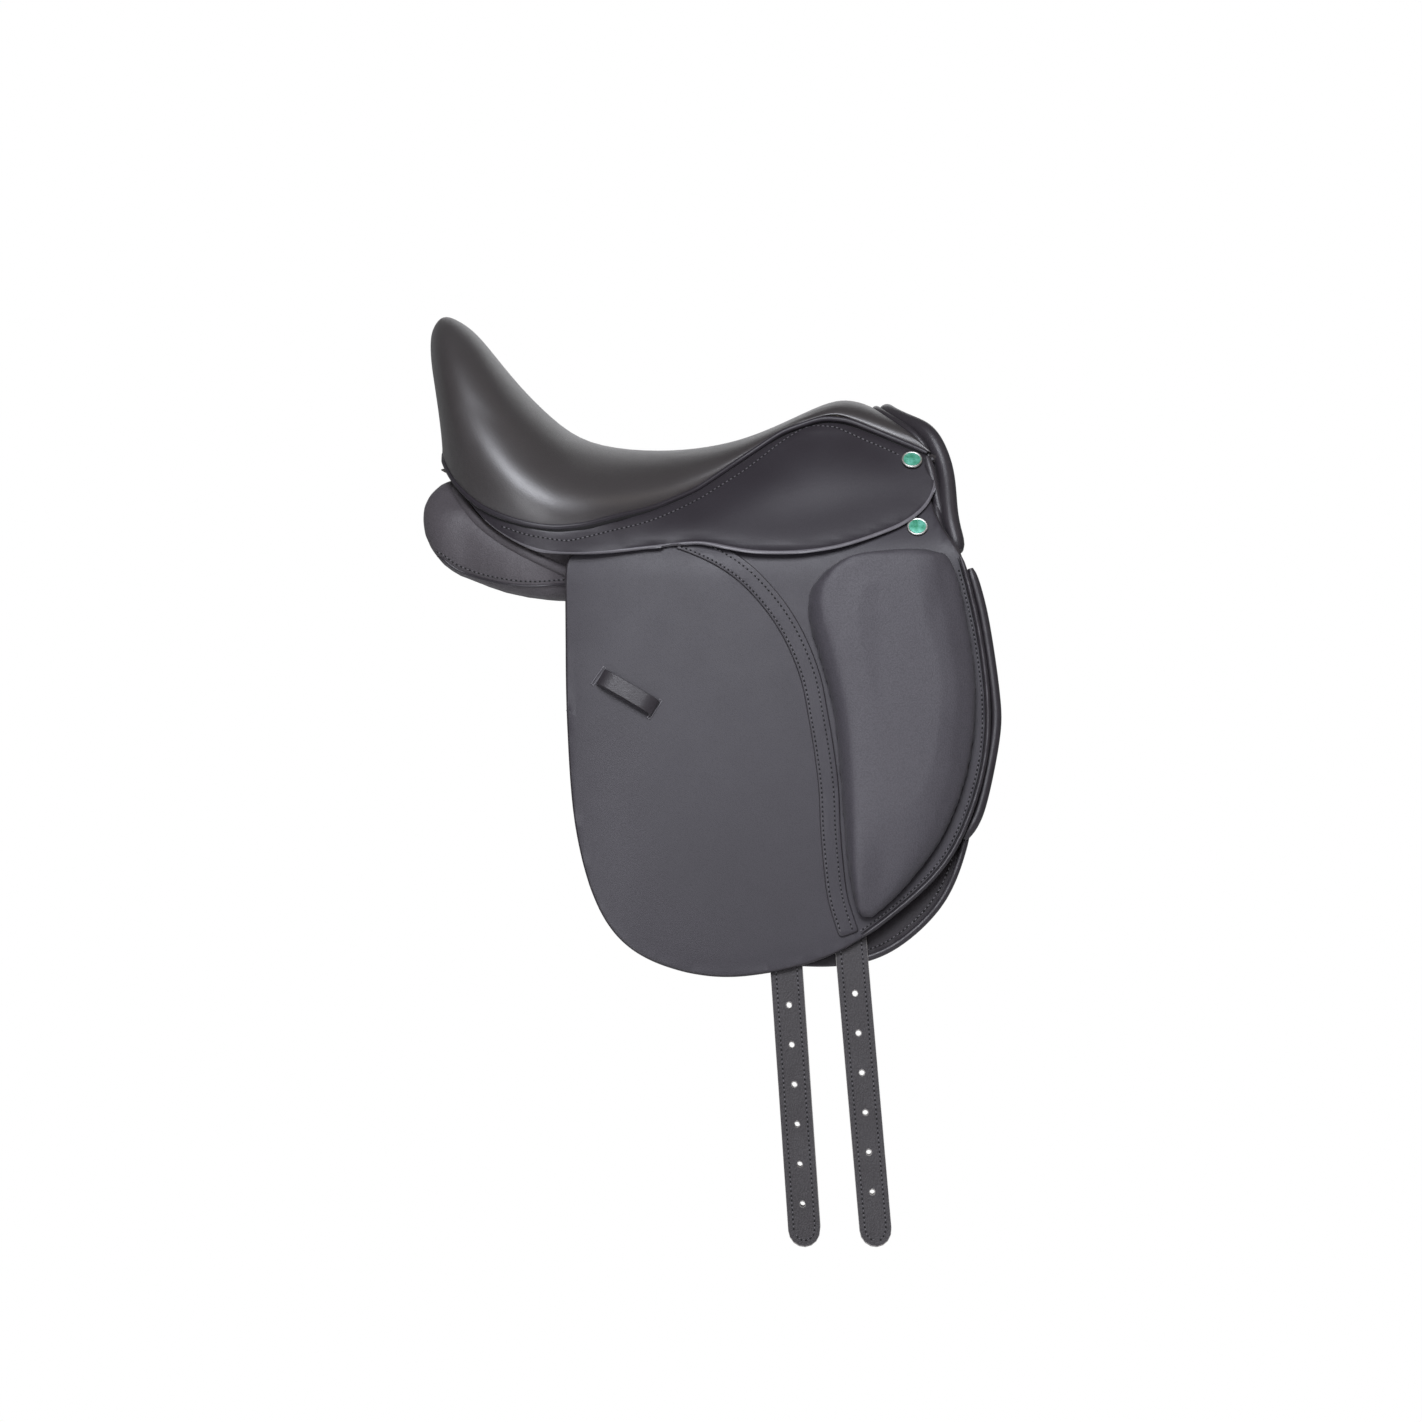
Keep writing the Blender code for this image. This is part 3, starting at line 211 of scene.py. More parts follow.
def floor_material():
    """A pale matt floor that is lifted to white for the camera and keeps the shadow."""
    made, tree, shader, place = blank_material("floor")
    shader.inputs["Base Color"].default_value = (0.9, 0.9, 0.9, 1)
    shader.inputs["Roughness"].default_value = 0.9
    away = node(tree, "VectorMath", operation="LENGTH")
    tree.links.new(place, away.inputs[0])
    lift = ramp(tree, away.outputs["Value"], 0.8, 2.2, 0.72, 1.0)
    share = product(tree, node(tree, "LightPath").outputs["Is Camera Ray"], lift)
    glow = node(tree, "Emission", Strength=1.0)
    mixed = node(tree, "MixShader")
    for k, source in enumerate((share, shader.outputs[0], glow.outputs[0])):
        tree.links.new(source, mixed.inputs[k])
    tree.links.new(mixed.outputs[0], tree.nodes["Material Output"].inputs["Surface"])
    return made


ground = bmesh.new()
bmesh.ops.create_grid(ground, x_segments=1, y_segments=1, size=FLOOR_HALF)
bmesh.ops.translate(ground, verts=ground.verts, vec=(0, 0, FLOOR_LEVEL))
ground_mesh = bpy.data.meshes.new("floor")
ground.to_mesh(ground_mesh)
ground.free()
ground_mesh.materials.append(floor_material())
floor = bpy.data.objects.new("floor", ground_mesh)
scene.collection.objects.link(floor)
print("lamps:", len(bpy.data.lights), "floor at", FLOOR_LEVEL)

# %% [markdown]
# ## Leather
# Saddle leather is dyed almost black, with a soft cool sheen. Its grain is a net of fine cells
# about a millimetre across, with pores between them and a slow change of tone where hands and
# polish have been. A Voronoi texture makes the cells, two noises make the pores and the tone, and
# a Bump node turns them into relief. All of it reads Object coordinates, so it stays in real size
# on every piece.

# %% Leather finishes


def leather(name, colour, light_colour, roughness, grain, cell, gloss=0.45, wrinkle=0.0):
    """Grained leather: `grain` is the relief's strength, `cell` the width of its cells in millimetres."""
    made, tree, shader, place = blank_material(name)
    link = tree.links.new
    cells = node(tree, "TexVoronoi", Scale=1000 / cell, feature="F1", Randomness=1.0)
    pores = node(tree, "TexNoise", Scale=2600 / cell, Detail=3.0, Roughness=0.6)
    tone = node(tree, "TexNoise", Scale=9.0, Detail=4.0, Roughness=0.55)
    polish = node(tree, "TexNoise", Scale=38.0, Detail=3.0, Roughness=0.6)
    for texture in (cells, pores, tone, polish):
        link(place, texture.inputs["Vector"])
    shade = node(tree, "MixRGB", blend_type="MULTIPLY", Fac=0.5)
    share = ramp(tree, tone.outputs["Fac"], 0.3, 0.72, 0.0, 1.0)
    link(two_tones(tree, share, colour, light_colour), shade.inputs["Color1"])
    valley = node(tree, "CombineColor")
    dark = ramp(tree, cells.outputs["Distance"], 0.25, 0.75, 1.0, 0.6)
    for channel in ("Red", "Green", "Blue"):
        link(dark, valley.inputs[channel])
    link(valley.outputs[0], shade.inputs["Color2"])
    link(shade.outputs[0], shader.inputs["Base Color"])
    rough = node(tree, "Math", operation="ADD")
    link(ramp(tree, polish.outputs["Fac"], 0.3, 0.7, roughness - 0.02, roughness + 0.02), rough.inputs[0])
    link(ramp(tree, cells.outputs["Distance"], 0.2, 0.8, 0.0, 0.08), rough.inputs[1])
    link(rough.outputs[0], shader.inputs["Roughness"])
    height = node(tree, "Math", operation="MULTIPLY_ADD")
    link(pores.outputs["Fac"], height.inputs[0])
    height.inputs[1].default_value = 0.5
    link(cells.outputs["Distance"], height.inputs[2])
    surface = node(tree, "Bump", Strength=0.35 * grain, Distance=0.0004, invert=True)
    link(height.outputs[0], surface.inputs["Height"])
    if wrinkle:
        folds = node(tree, "TexNoise", Scale=55.0, Detail=5.0, Roughness=0.62, Distortion=0.6)
        link(place, folds.inputs["Vector"])
        link(relief(tree, folds.outputs["Fac"], wrinkle, 0.0022), surface.inputs["Normal"])
    link(surface.outputs[0], shader.inputs["Normal"])
    shader.inputs["Sheen Weight"].default_value = 0.05
    shader.inputs["Sheen Roughness"].default_value = 0.45
    shader.inputs["Specular IOR Level"].default_value = gloss
    return made


SEAT_LEATHER = leather("seat_leather", (0.032, 0.027, 0.027), (0.037, 0.032, 0.033),
                       roughness=0.37, grain=0.5, cell=0.9, gloss=1.0)
FLAP_LEATHER = leather("flap_leather", (0.031, 0.027, 0.034), (0.035, 0.031, 0.039),
                       roughness=0.42, grain=0.4, cell=0.8, gloss=0.38)
SKIRT_LEATHER = leather("skirt_leather", (0.022, 0.018, 0.023), (0.027, 0.023, 0.029),
                        roughness=0.37, grain=0.4, cell=0.8, gloss=0.38)
BLOCK_LEATHER = leather("block_leather", (0.058, 0.053, 0.063), (0.066, 0.061, 0.071),
                        roughness=0.52, grain=1.1, cell=1.3, wrinkle=0.10)
TRIM_LEATHER = leather("trim_leather", (0.024, 0.020, 0.024), (0.032, 0.028, 0.033),
                       roughness=0.34, grain=0.7, cell=1.0, wrinkle=0.15)
# The sweat flap's leather is darker than the flap's as painted shade, for the shadow that the flap casts on
# it.
SWEAT_LEATHER_SHADED = leather("sweat_leather_painted_shade", (0.018, 0.015, 0.018), (0.024, 0.020, 0.024),
                        roughness=0.45, grain=0.7, cell=1.0, gloss=0.25)
PANEL_LEATHER = leather("panel_leather", (0.064, 0.056, 0.062), (0.080, 0.072, 0.079),
                        roughness=0.48, grain=1.1, cell=1.2, wrinkle=0.3)
STRAP_LEATHER = leather("strap_leather", (0.031, 0.027, 0.029), (0.045, 0.041, 0.044),
                        roughness=0.50, grain=1.6, cell=1.6, gloss=0.36, wrinkle=0.15)
# The edge paint is partly its own colour and partly a painted highlight: it is lighter so that rounded edges
# read as catching light.
EDGE_PAINT_AND_HIGHLIGHT = leather("edge_paint_and_highlight", (0.10, 0.095, 0.105), (0.15, 0.14, 0.155),
                     roughness=0.34, grain=0.2, cell=0.8)
print("leathers made")

# %% [markdown]
# ## Other finishes
# The straps are cut from thick hide, so their edges are raw and pale. The flesh side of the flap is
# a dark suede. The rest is thread, webbing, linen, foam, laminated wood, steel and green enamel.

# %% Other finishes


def fibrous(name, colour, light_colour, scale, roughness=0.85):
    """Raw hide, suede, thread or foam: fine noise in colour and relief, with no gloss."""
    made, tree, shader, place = blank_material(name)
    link = tree.links.new
    fibre = node(tree, "TexNoise", Scale=scale, Detail=6.0, Roughness=0.7)
    tone = node(tree, "TexNoise", Scale=25.0, Detail=3.0)
    link(place, fibre.inputs["Vector"])
    link(place, tone.inputs["Vector"])
    both = product(tree, fibre.outputs["Fac"], ramp(tree, tone.outputs["Fac"], 0.3, 0.7, 0.7, 1.5))
    share = ramp(tree, both, 0.3, 0.75, 0.0, 1.0)
    link(two_tones(tree, share, colour, light_colour), shader.inputs["Base Color"])
    link(relief(tree, fibre.outputs["Fac"], 0.5, 0.0004), shader.inputs["Normal"])
    shader.inputs["Roughness"].default_value = roughness
    return made


def woven(name, colour, light_colour, pitch):
    """Webbing or linen: two waves that cross, in colour and relief. A wave takes two threads."""
    made, tree, shader, place = blank_material(name)
    link = tree.links.new
    waves = []
    for direction in ("X", "Z"):
        wave = node(tree, "TexWave", Scale=1 / (pitch * MM) / 6.3, Distortion=0.4, bands_direction=direction)
        link(place, wave.inputs["Vector"])
        waves.append(wave.outputs["Fac"])
    cross = product(tree, *waves)
    link(two_tones(tree, cross, colour, light_colour), shader.inputs["Base Color"])
    link(relief(tree, cross, 0.6, 0.0006), shader.inputs["Normal"])
    shader.inputs["Roughness"].default_value = 0.9
    return made


def metal(name, colour, roughness, grain_scale):
    """Brushed or cast metal: streaks in roughness, and a little relief."""
    made, tree, shader, place = blank_material(name)
    link = tree.links.new
    streaks = node(tree, "TexNoise", Scale=grain_scale, Detail=4.0)
    link(drawn_out(tree, place, 0.08), streaks.inputs["Vector"])
    rough = ramp(tree, streaks.outputs["Fac"], 0.3, 0.7, roughness - 0.08, roughness + 0.1)
    link(rough, shader.inputs["Roughness"])
    link(relief(tree, streaks.outputs["Fac"], 0.15, 0.0002), shader.inputs["Normal"])
    shader.inputs["Base Color"].default_value = (*colour, 1)
    shader.inputs["Metallic"].default_value = 1.0
    return made


def laminate(name):
    """The tree's laminated wood: thin layers with a fine grain across them."""
    made, tree, shader, place = blank_material(name)
    link = tree.links.new
    layers = node(tree, "TexWave", Scale=140.0, Distortion=3.0, Detail=2.0, bands_direction="Z")
    link(place, layers.inputs["Vector"])
    grain = node(tree, "TexNoise", Scale=300.0, Detail=5.0)
    link(drawn_out(tree, place, 0.06), grain.inputs["Vector"])
    both = product(tree, layers.outputs["Fac"], grain.outputs["Fac"])
    link(two_tones(tree, both, (0.22, 0.13, 0.06), (0.50, 0.34, 0.18)), shader.inputs["Base Color"])
    shader.inputs["Roughness"].default_value = 0.5
    return made


def enamel(name):
    """Green enamel with a pearly change of tone under a clear coat."""
    made, tree, shader, place = blank_material(name)
    link = tree.links.new
    flakes = node(tree, "TexVoronoi", Scale=420.0)
    cloud = node(tree, "TexNoise", Scale=160.0, Detail=3.0)
    link(place, flakes.inputs["Vector"])
    link(place, cloud.inputs["Vector"])
    share = ramp(tree, cloud.outputs["Fac"], 0.35, 0.65, 0.0, 1.0)
    link(two_tones(tree, share, (0.045, 0.30, 0.17), (0.16, 0.55, 0.42)), shader.inputs["Base Color"])
    link(ramp(tree, flakes.outputs["Distance"], 0.0, 0.6, 0.18, 0.34), shader.inputs["Roughness"])
    shader.inputs["Metallic"].default_value = 0.35
    shader.inputs["Coat Weight"].default_value = 0.8
    shader.inputs["Coat Roughness"].default_value = 0.05
    return made


SUEDE = fibrous("suede", (0.020, 0.016, 0.017), (0.040, 0.033, 0.034), 1400)
RAW_EDGE = fibrous("raw_edge", (0.22, 0.20, 0.19), (0.46, 0.44, 0.42), 900, 0.7)
FOAM = fibrous("seat_foam", (0.48, 0.42, 0.26), (0.72, 0.66, 0.46), 700)
THREAD = fibrous("thread", (0.075, 0.070, 0.078), (0.135, 0.128, 0.138), 3000, 0.55)
# Near black, as painted shade: in the needle holes, under the seat's welt and in the crease beside the flap's
# piping.
PAINTED_SHADE = fibrous("painted_shade_black", (0.003, 0.003, 0.003), (0.006, 0.005, 0.006), 3000, 0.9)
WEBBING = woven("webbing", (0.20, 0.17, 0.12), (0.46, 0.41, 0.31), 1.4)
LINEN = woven("linen", (0.10, 0.09, 0.08), (0.26, 0.24, 0.21), 0.9)
STEEL = metal("steel", (0.60, 0.60, 0.61), 0.32, 900)
SILVER = metal("silver_rim", (0.50, 0.51, 0.48), 0.40, 500)
WOOD = laminate("laminated_wood")
ENAMEL = enamel("green_enamel")
print("materials:", len(bpy.data.materials))

# %% [markdown]
# ## Copies of the frame's solids
# Most pieces start as a copy of their solid in the frame. A solid's mesh is loose triangles, so the
# copy is merged first. A subdivided copy gives soft pieces, and a bevelled one gives straps.

# %% Helpers for copies and finished pieces


def merged(*names):
    """One bmesh with copies of these nodes, each with its loose triangles joined."""
    shape = bmesh.new()
    for name in names:
        shape.from_mesh(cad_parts[name].data)
    bmesh.ops.remove_doubles(shape, verts=shape.verts, dist=1e-6)
    shape.normal_update()
    return shape


def object_of(name, shape, *materials, angle=40):
    """An object made from a bmesh, shaded smooth up to the given angle."""
    mesh = bpy.data.meshes.new(name)
    shape.to_mesh(mesh)
    shape.free()
    for material in materials:
        mesh.materials.append(material)
    mesh.shade_smooth()
    mesh.set_sharp_from_angle(angle=math.radians(angle))
    obj = bpy.data.objects.new(name, mesh)
    scene.collection.objects.link(obj)
    return obj


def bake(obj):
    """Applies an object's modifiers."""
    bpy.context.view_layer.update()
    graph = bpy.context.evaluated_depsgraph_get()
    made = bpy.data.meshes.new_from_object(obj.evaluated_get(graph))
    obj.modifiers.clear()
    obj.data = made
    return obj


def subdivide(obj, levels):
    """Gives an object a Subdivision Surface modifier."""
    made = obj.modifiers.new("smooth", "SUBSURF")
    made.levels = levels
    made.render_levels = levels
    return obj


def fit(obj, body, slot, *names):
    """Rides on a body and stands for CAD nodes, which it hides. The slot is not used."""
    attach(obj, body)
    if names:
        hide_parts(*names)
    return obj


def coordinates(mesh):
    """A mesh's points as an array."""
    places = np.empty(len(mesh.vertices) * 3, np.float32)
    mesh.vertices.foreach_get("co", places)
    return places.reshape(-1, 3)


CAGE_ROUNDS = 3


def refined(name, source, material, levels):
    """A smooth copy of a solid. Its cage is pushed out until the smooth surface meets the points."""
    shape = merged(source)
    bmesh.ops.join_triangles(shape, faces=shape.faces, angle_face_threshold=0.7,
                             angle_shape_threshold=1.2)
    obj = subdivide(object_of(name, shape, material, angle=180), levels)
    wanted = coordinates(obj.data)
    cage = wanted.copy()
    for _ in range(CAGE_ROUNDS):
        bpy.context.view_layer.update()
        smooth = obj.evaluated_get(bpy.context.evaluated_depsgraph_get()).to_mesh()
        cage += 0.8 * (wanted - coordinates(smooth)[:len(cage)])
        obj.data.vertices.foreach_set("co", cage.ravel())
        obj.data.update()
    return obj


def edged(name, source, width, segments, *materials):
    """A copy of a solid with its sharp edges rounded."""
    shape = merged(source)
    bmesh.ops.dissolve_limit(shape, angle_limit=math.radians(2), verts=shape.verts, edges=shape.edges)
    obj = object_of(name, shape, *materials, angle=35)
    made = obj.modifiers.new("edges", "BEVEL")
    made.width = width
    made.segments = segments
    made.limit_method = "ANGLE"
    made.angle_limit = math.radians(40)
    return obj


# %% [markdown]
# ## Outlines and lines
# A sheet's outline is the rim of its solid's outer face. Where two solids meet at a fold, the points
# on the fold are left out, so that one outline goes round both. A bead's middle line is found by
# walking along its solid and cutting it at every step.

# %% Helpers for outlines and lines


def facing(shape, out, least):
    """Keeps only the faces that look along a direction."""
    away = [face for face in shape.faces if face.normal.dot(Vector(out).normalized()) < least]
    bmesh.ops.delete(shape, geom=away, context="FACES")
    return shape


def rim(shape):
    """The longest closed rim of an open surface, in order, in side view. Dicts keep the edges in their
    order, so that every run starts at the same one."""
    left = dict.fromkeys(edge for edge in shape.edges if edge.is_boundary)
    best, best_length = [], 0.0
    while left:
        edge = next(iter(left))
        del left[edge]
        start, here = edge.verts
        loop, length = [start, here], edge.calc_length()
        while here != start:
            ahead = [e for e in here.link_edges if e in left]
            if not ahead:
                break
            del left[ahead[0]]
            here = ahead[0].other_vert(here)
            loop.append(here)
            length += ahead[0].calc_length()
        if length > best_length:
            best, best_length = loop[:-1], length
    points = [Vector((vert.co.x, 0, vert.co.z)) for vert in best]
    shape.free()
    return points


PAST_ENDS = 12 * MM


def near_line(line, reach):
    """A test for points close to a line in side view, or a little past its ends."""
    a, b = [Vector((p.x, 0, p.z)) for p in line]
    run = (b - a).normalized()
    across = Vector((-run.z, 0, run.x))

    def test(p):
        along = (p - a).dot(run)
        return abs((p - a).dot(across)) < reach and -PAST_ENDS < along < (b - a).length + PAST_ENDS
    return test


def across_fold(first, second, on_fold, corners):
    """One outline from two that meet at a fold. The fold's end points stay where they are corners."""
    chains = []
    for points in (first, second):
        count = len(points)
        flags = [on_fold(p) for p in points]
        keep = [not flags[k] or corners and not (flags[k - 1] and flags[(k + 1) % count])
                for k in range(count)]
        start = next(k for k in range(count) if flags[k - 1] and not flags[k]) - 1
        turned = [(k + start) % count for k in range(count)]
        chains.append([points[k] for k in turned if keep[k]])
    a, b = chains
    if (a[-1] - b[0]).length > (a[-1] - b[-1]).length:
        b.reverse()
    return a + b


def even_points(points, pitch, closed=False):
    """Points at equal steps along a line of points."""
    line = np.array([list(p) for p in points])
    if closed:
        line = np.vstack([line, line[:1]])
    run = np.concatenate([[0], np.cumsum(np.linalg.norm(np.diff(line, axis=0), axis=1))])
    count = max(2, round(run[-1] / pitch) + (0 if closed else 1))
    at = np.linspace(0, run[-1], count, endpoint=not closed)
    return [Vector([np.interp(s, run, line[:, k]) for k in range(3)]) for s in at]


def eased(points, pitch, rounds, closed=True, corner=50):
    """The line with its points evenly spaced and its small kinks smoothed. Real corners stay."""
    line = even_points(points, pitch, closed)
    count = len(line)
    fixed = set() if closed else {0, count - 1}
    for k in range(count):
        before, after = line[k] - line[k - 1], line[(k + 1) % count] - line[k]
        if before.length and after.length and math.degrees(before.angle(after)) > corner:
            fixed.update({k, (k + 1) % count, k - 1 if k else count - 1})
    for _ in range(rounds):
        line = [p if k in fixed else (line[k - 1] + 2 * p + line[(k + 1) % count]) / 4
                for k, p in enumerate(line)]
    return line


def smooth_line(points, pitch):
    """A smooth line through a few chosen points (x, z), in millimetres."""
    keys = [Vector((x, 0, z)) * MM for x, z in points]
    keys = [2 * keys[0] - keys[1], *keys, 2 * keys[-1] - keys[-2]]
    line = []
    for a, b, c, d in zip(keys, keys[1:], keys[2:], keys[3:]):
        for t in np.linspace(0, 1, 10, endpoint=False):
            line.append(0.5 * (2 * b + (c - a) * t + (2 * a - 5 * b + 4 * c - d) * t**2
                               + (3 * b - a - 3 * c + d) * t**3))
    return even_points(line + [keys[-2]], pitch)


def stretch(loop, first, last):
    """The shorter way round a loop between the points nearest to two places (x, z), in millimetres."""
    a, b = [min(range(len(loop)), key=lambda k: (loop[k] - Vector((x, 0, z)) * MM).length)
            for x, z in (first, last)]
    count = len(loop)
    onwards = [loop[k % count] for k in range(a, a + (b - a) % count + 1)]
    back = [loop[k % count] for k in range(a, a - (a - b) % count - 1, -1)]
    return min(onwards, back, key=len)


def beside(line, distance):
    """A line moved sideways in side view: to its right, seen along it from the saddle's right."""
    moved = []
    for k, p in enumerate(line):
        run = (line[min(k + 1, len(line) - 1)] - line[max(k - 1, 0)]).normalized()
        moved.append(p + Vector((-run.z, 0, run.x)) * distance)
    return moved


def inset_loop(outline, depth):
    """The outline moved inwards by a distance, in side view."""
    shape = bmesh.new()
    face = shape.faces.new([shape.verts.new(p) for p in outline])
    face.normal_update()
    bmesh.ops.inset_region(shape, faces=[face], thickness=depth, use_boundary=True)
    loop = [vert.co.copy() for vert in face.verts]
    shape.free()
    return loop


WALK_STEP = 4 * MM
WALK_REACH = 12 * MM


def middle_line(source, start):
    """The middle of a bead: a walk from its end near `start`, cutting it square to the way ahead."""
    body = merged(source)
    start = Vector(start) * MM
    tip = min((vert.co for vert in body.verts), key=lambda p: (p - start).length)
    foot = [vert.co for vert in body.verts if (vert.co - tip).length < WALK_REACH]
    beyond = [vert.co for vert in body.verts if WALK_REACH < (vert.co - tip).length < 3 * WALK_REACH]
    here = sum(foot, Vector()) / len(foot)
    ahead = (sum(beyond, Vector()) / len(beyond) - here).normalized()
    line = []
    while True:
        cut = body.copy()
        made = bmesh.ops.bisect_plane(cut, geom=cut.verts[:] + cut.edges[:] + cut.faces[:], dist=1e-7,
                                      plane_co=here, plane_no=ahead)
        ring = [g for g in made["geom_cut"] if isinstance(g, bmesh.types.BMEdge)]
        ring = [e for e in ring if (e.verts[0].co - here).length < WALK_REACH]
        length = sum(e.calc_length() for e in ring)
        if length == 0:
            cut.free()
            break
        moments = [(e.verts[0].co + e.verts[1].co) * e.calc_length() / 2 for e in ring]
        middle = sum(moments, Vector()) / length
        if line:
            ahead = (middle - line[-1]).normalized()
        line.append(middle)
        here = middle + ahead * WALK_STEP
        cut.free()
    body.free()
    print("  ", source, "walked in", len(line), "steps")
    return line


# %% [markdown]
# ## Leather sheets
# A sheet starts as a flat outline in side view. Narrow rings are inset along its rim, and planes cut
# the rest into small squares. Each point then moves sideways until it meets the solid's outer face,
# and a second, reversed copy closes the thickness, so that the rings become a rounded edge.

# %% Helpers for leather sheets
EDGE_RINGS = (0.2, 0.55, 1.0)
FACE, EDGE, BACK = 0, 1, 2


def round_edge(share):
    """How deep a round edge lies, at a share of its radius in from the rim."""
    return 1 - math.sqrt(1 - (1 - min(share, 1.0)) ** 2)


def lattice(outline, step, radius):
    """A flat face in side view: narrow rings inside its rim, and small squares within."""
    shape = bmesh.new()
    depth = shape.verts.layers.float.new("depth")
    face = shape.faces.new([shape.verts.new(p) for p in outline])
    face.normal_update()
    for vert in face.verts:
        vert[depth] = 1.0
    before = 0.0
    for share in EDGE_RINGS:
        bmesh.ops.inset_region(shape, faces=[face], thickness=(share - before) * radius,
                               use_boundary=True)
        before = share
        for vert in face.verts:
            vert[depth] = round_edge(share)
    for strip in shape.faces:
        strip.material_index = FACE if strip == face else EDGE
    corners = [vert.co.copy() for vert in face.verts]
    for axis in (Vector((1, 0, 0)), Vector((0, 0, 1))):
        reach = [corner.dot(axis) for corner in corners]
        for k in range(math.ceil(min(reach) / step), math.ceil(max(reach) / step)):
            cells = [f for f in shape.faces if f.material_index == FACE]
            geometry = dict.fromkeys(cells)
            for cell in cells:
                geometry.update(dict.fromkeys([*cell.edges, *cell.verts]))
            bmesh.ops.bisect_plane(shape, geom=list(geometry), dist=0.12 * step,
                                   plane_co=axis * (k * step), plane_no=axis)
    return shape


def lay_on(shape, target, side, relax, level_rim):
    """Moves a flat lattice sideways onto a surface's outer face, and evens it out. With a level rim,
    the rim's points take their place from the points inside it, and not from the surface."""
    tree = BVHTree.FromBMesh(target)
    depth = shape.verts.layers.float["depth"]
    missed = set()
    for vert in shape.verts:
        hit = tree.ray_cast(Vector((vert.co.x, side, vert.co.z)), Vector((0, -side, 0)))[0]
        if hit is None or level_rim and vert[depth] > 0:
            missed.add(vert)
        else:
            vert.co.y = hit.y
    print("   laid", len(shape.verts), "points,", len(missed), "filled in from their neighbours")
    while missed:
        solved = {}
        for vert in missed:
            near = [e.other_vert(vert).co.y for e in vert.link_edges if e.other_vert(vert) not in missed]
            if near:
                solved[vert] = sum(near) / len(near)
        for vert, y in solved.items():
            vert.co.y = y
        missed -= set(solved)
    inner = [v for v in shape.verts if not v.is_boundary]
    for _ in range(relax):
        bmesh.ops.smooth_vert(shape, verts=inner, factor=0.5, use_axis_y=True)
    target.free()


def thicken(shape, side, thickness):
    """Gives a laid lattice its thickness, inwards, with a round edge all the way."""
    shape.normal_update()
    if sum(face.normal.y for face in shape.faces) * side < 0:
        bmesh.ops.reverse_faces(shape, faces=shape.faces)
        shape.normal_update()
    depth = shape.verts.layers.float["depth"]
    radius = thickness / 2
    out = {vert: vert.normal.copy() for vert in shape.verts}
    copy = bmesh.ops.duplicate(shape, geom=shape.verts[:] + shape.edges[:] + shape.faces[:])
    twins = copy["vert_map"]
    for vert, normal in out.items():
        deep = vert[depth] * radius
        twins[vert].co -= normal * (thickness - deep)
        vert.co -= normal * deep
    backs = [face for face in copy["geom"] if isinstance(face, bmesh.types.BMFace)]
    bmesh.ops.reverse_faces(shape, faces=backs)
    for face in backs:
        if face.material_index == FACE:
            face.material_index = BACK
    bmesh.ops.remove_doubles(shape, verts=shape.verts, dist=1e-6)
    return shape


def leather_sheet(name, outline, target, side, materials, thickness, step, relax=0, shaped=None,
                  level_rim=True):
    """A whole sheet of leather over a surface of the frame. Its materials are for face, edge and back."""
    shape = lattice(outline, step, thickness / 2)
    lay_on(shape, target, side, relax, level_rim)
    if shaped:
        for vert in shape.verts:
            vert.co = shaped(vert.co, side)
    thicken(shape, side, thickness)
    return object_of(name, shape, *materials, angle=60)


# %% [markdown]
# ## Beads and stitches
# Piping is a cord sewn into a strip of leather: a round bead along a line. A seam is hundreds of
# small stitches, so each stitch is a ball of only twenty faces, drawn out along the seam.

# %% Helpers for beads and stitches


END_RADII = (0.55, 0.86, 0.97, 1.0)


def tube(name, points, width, material, sides=16):
    """A round bead along a line, as a closed mesh with rounded ends."""
    curve = bpy.data.curves.new(name, "CURVE")
    curve.dimensions = "3D"
    curve.bevel_depth = width / 2
    curve.bevel_resolution = (sides - 4) // 2
    curve.use_fill_caps = True
    spline = curve.splines.new("POLY")
    last = len(points) - 1
    spline.points.add(last)
    for k, (point, place) in enumerate(zip(spline.points, points)):
        point.co = (*place, 1)
        point.radius = END_RADII[min(k, last - k, 3)]
    rod = bpy.data.objects.new(name, curve)
    scene.collection.objects.link(rod)
    bpy.context.view_layer.update()
    mesh = bpy.data.meshes.new_from_object(rod.evaluated_get(bpy.context.evaluated_depsgraph_get()))
    bpy.data.objects.remove(rod)
    shape = bmesh.new()
    shape.from_mesh(mesh)
    bmesh.ops.remove_doubles(shape, verts=shape.verts, dist=1e-6)
    bmesh.ops.recalc_face_normals(shape, faces=shape.faces)
    return object_of(name, shape, material, angle=60)


def surface_of(obj):
    """A finished piece's surface, to place seams on."""
    bpy.context.view_layer.update()
    mesh = obj.evaluated_get(bpy.context.evaluated_depsgraph_get()).to_mesh()
    shape = bmesh.new()
    shape.from_mesh(mesh)
    tree = BVHTree.FromBMesh(shape)
    shape.free()
    return tree


def seen_on(points, surface, side):
    """Each point of a side view put on a surface, with the surface's normal there."""
    placed = []
    for p in points:
        hit, out, _, _ = surface.ray_cast(Vector((p.x, side, p.z)), Vector((0, -side, 0)))
        if hit is not None:
            placed.append((hit, out))
    return placed


ROUND_EDGE_END = 3.5 * MM


def edge_line(outline, depth, ends, pitch, surface, side):
    """Points along a sheet's edge, a depth in from it and level with the face just inside the edge."""
    safe = inset_loop(outline, max(depth, ROUND_EDGE_END))
    line = []
    for p in even_points(stretch(inset_loop(outline, depth), *ends), pitch):
        anchor = min(safe, key=lambda q: (q - p).length)
        for hit, out in seen_on([anchor], surface, side):
            line.append((Vector((p.x, hit.y, p.z)), out))
    return line


STITCH_PITCH = 4.2 * MM
STITCH = (2.8 * MM, 1.3 * MM, 1.0 * MM)
NEEDLE_HOLE_SHADE = (2.1 * MM, 1.9 * MM, 0.8 * MM)


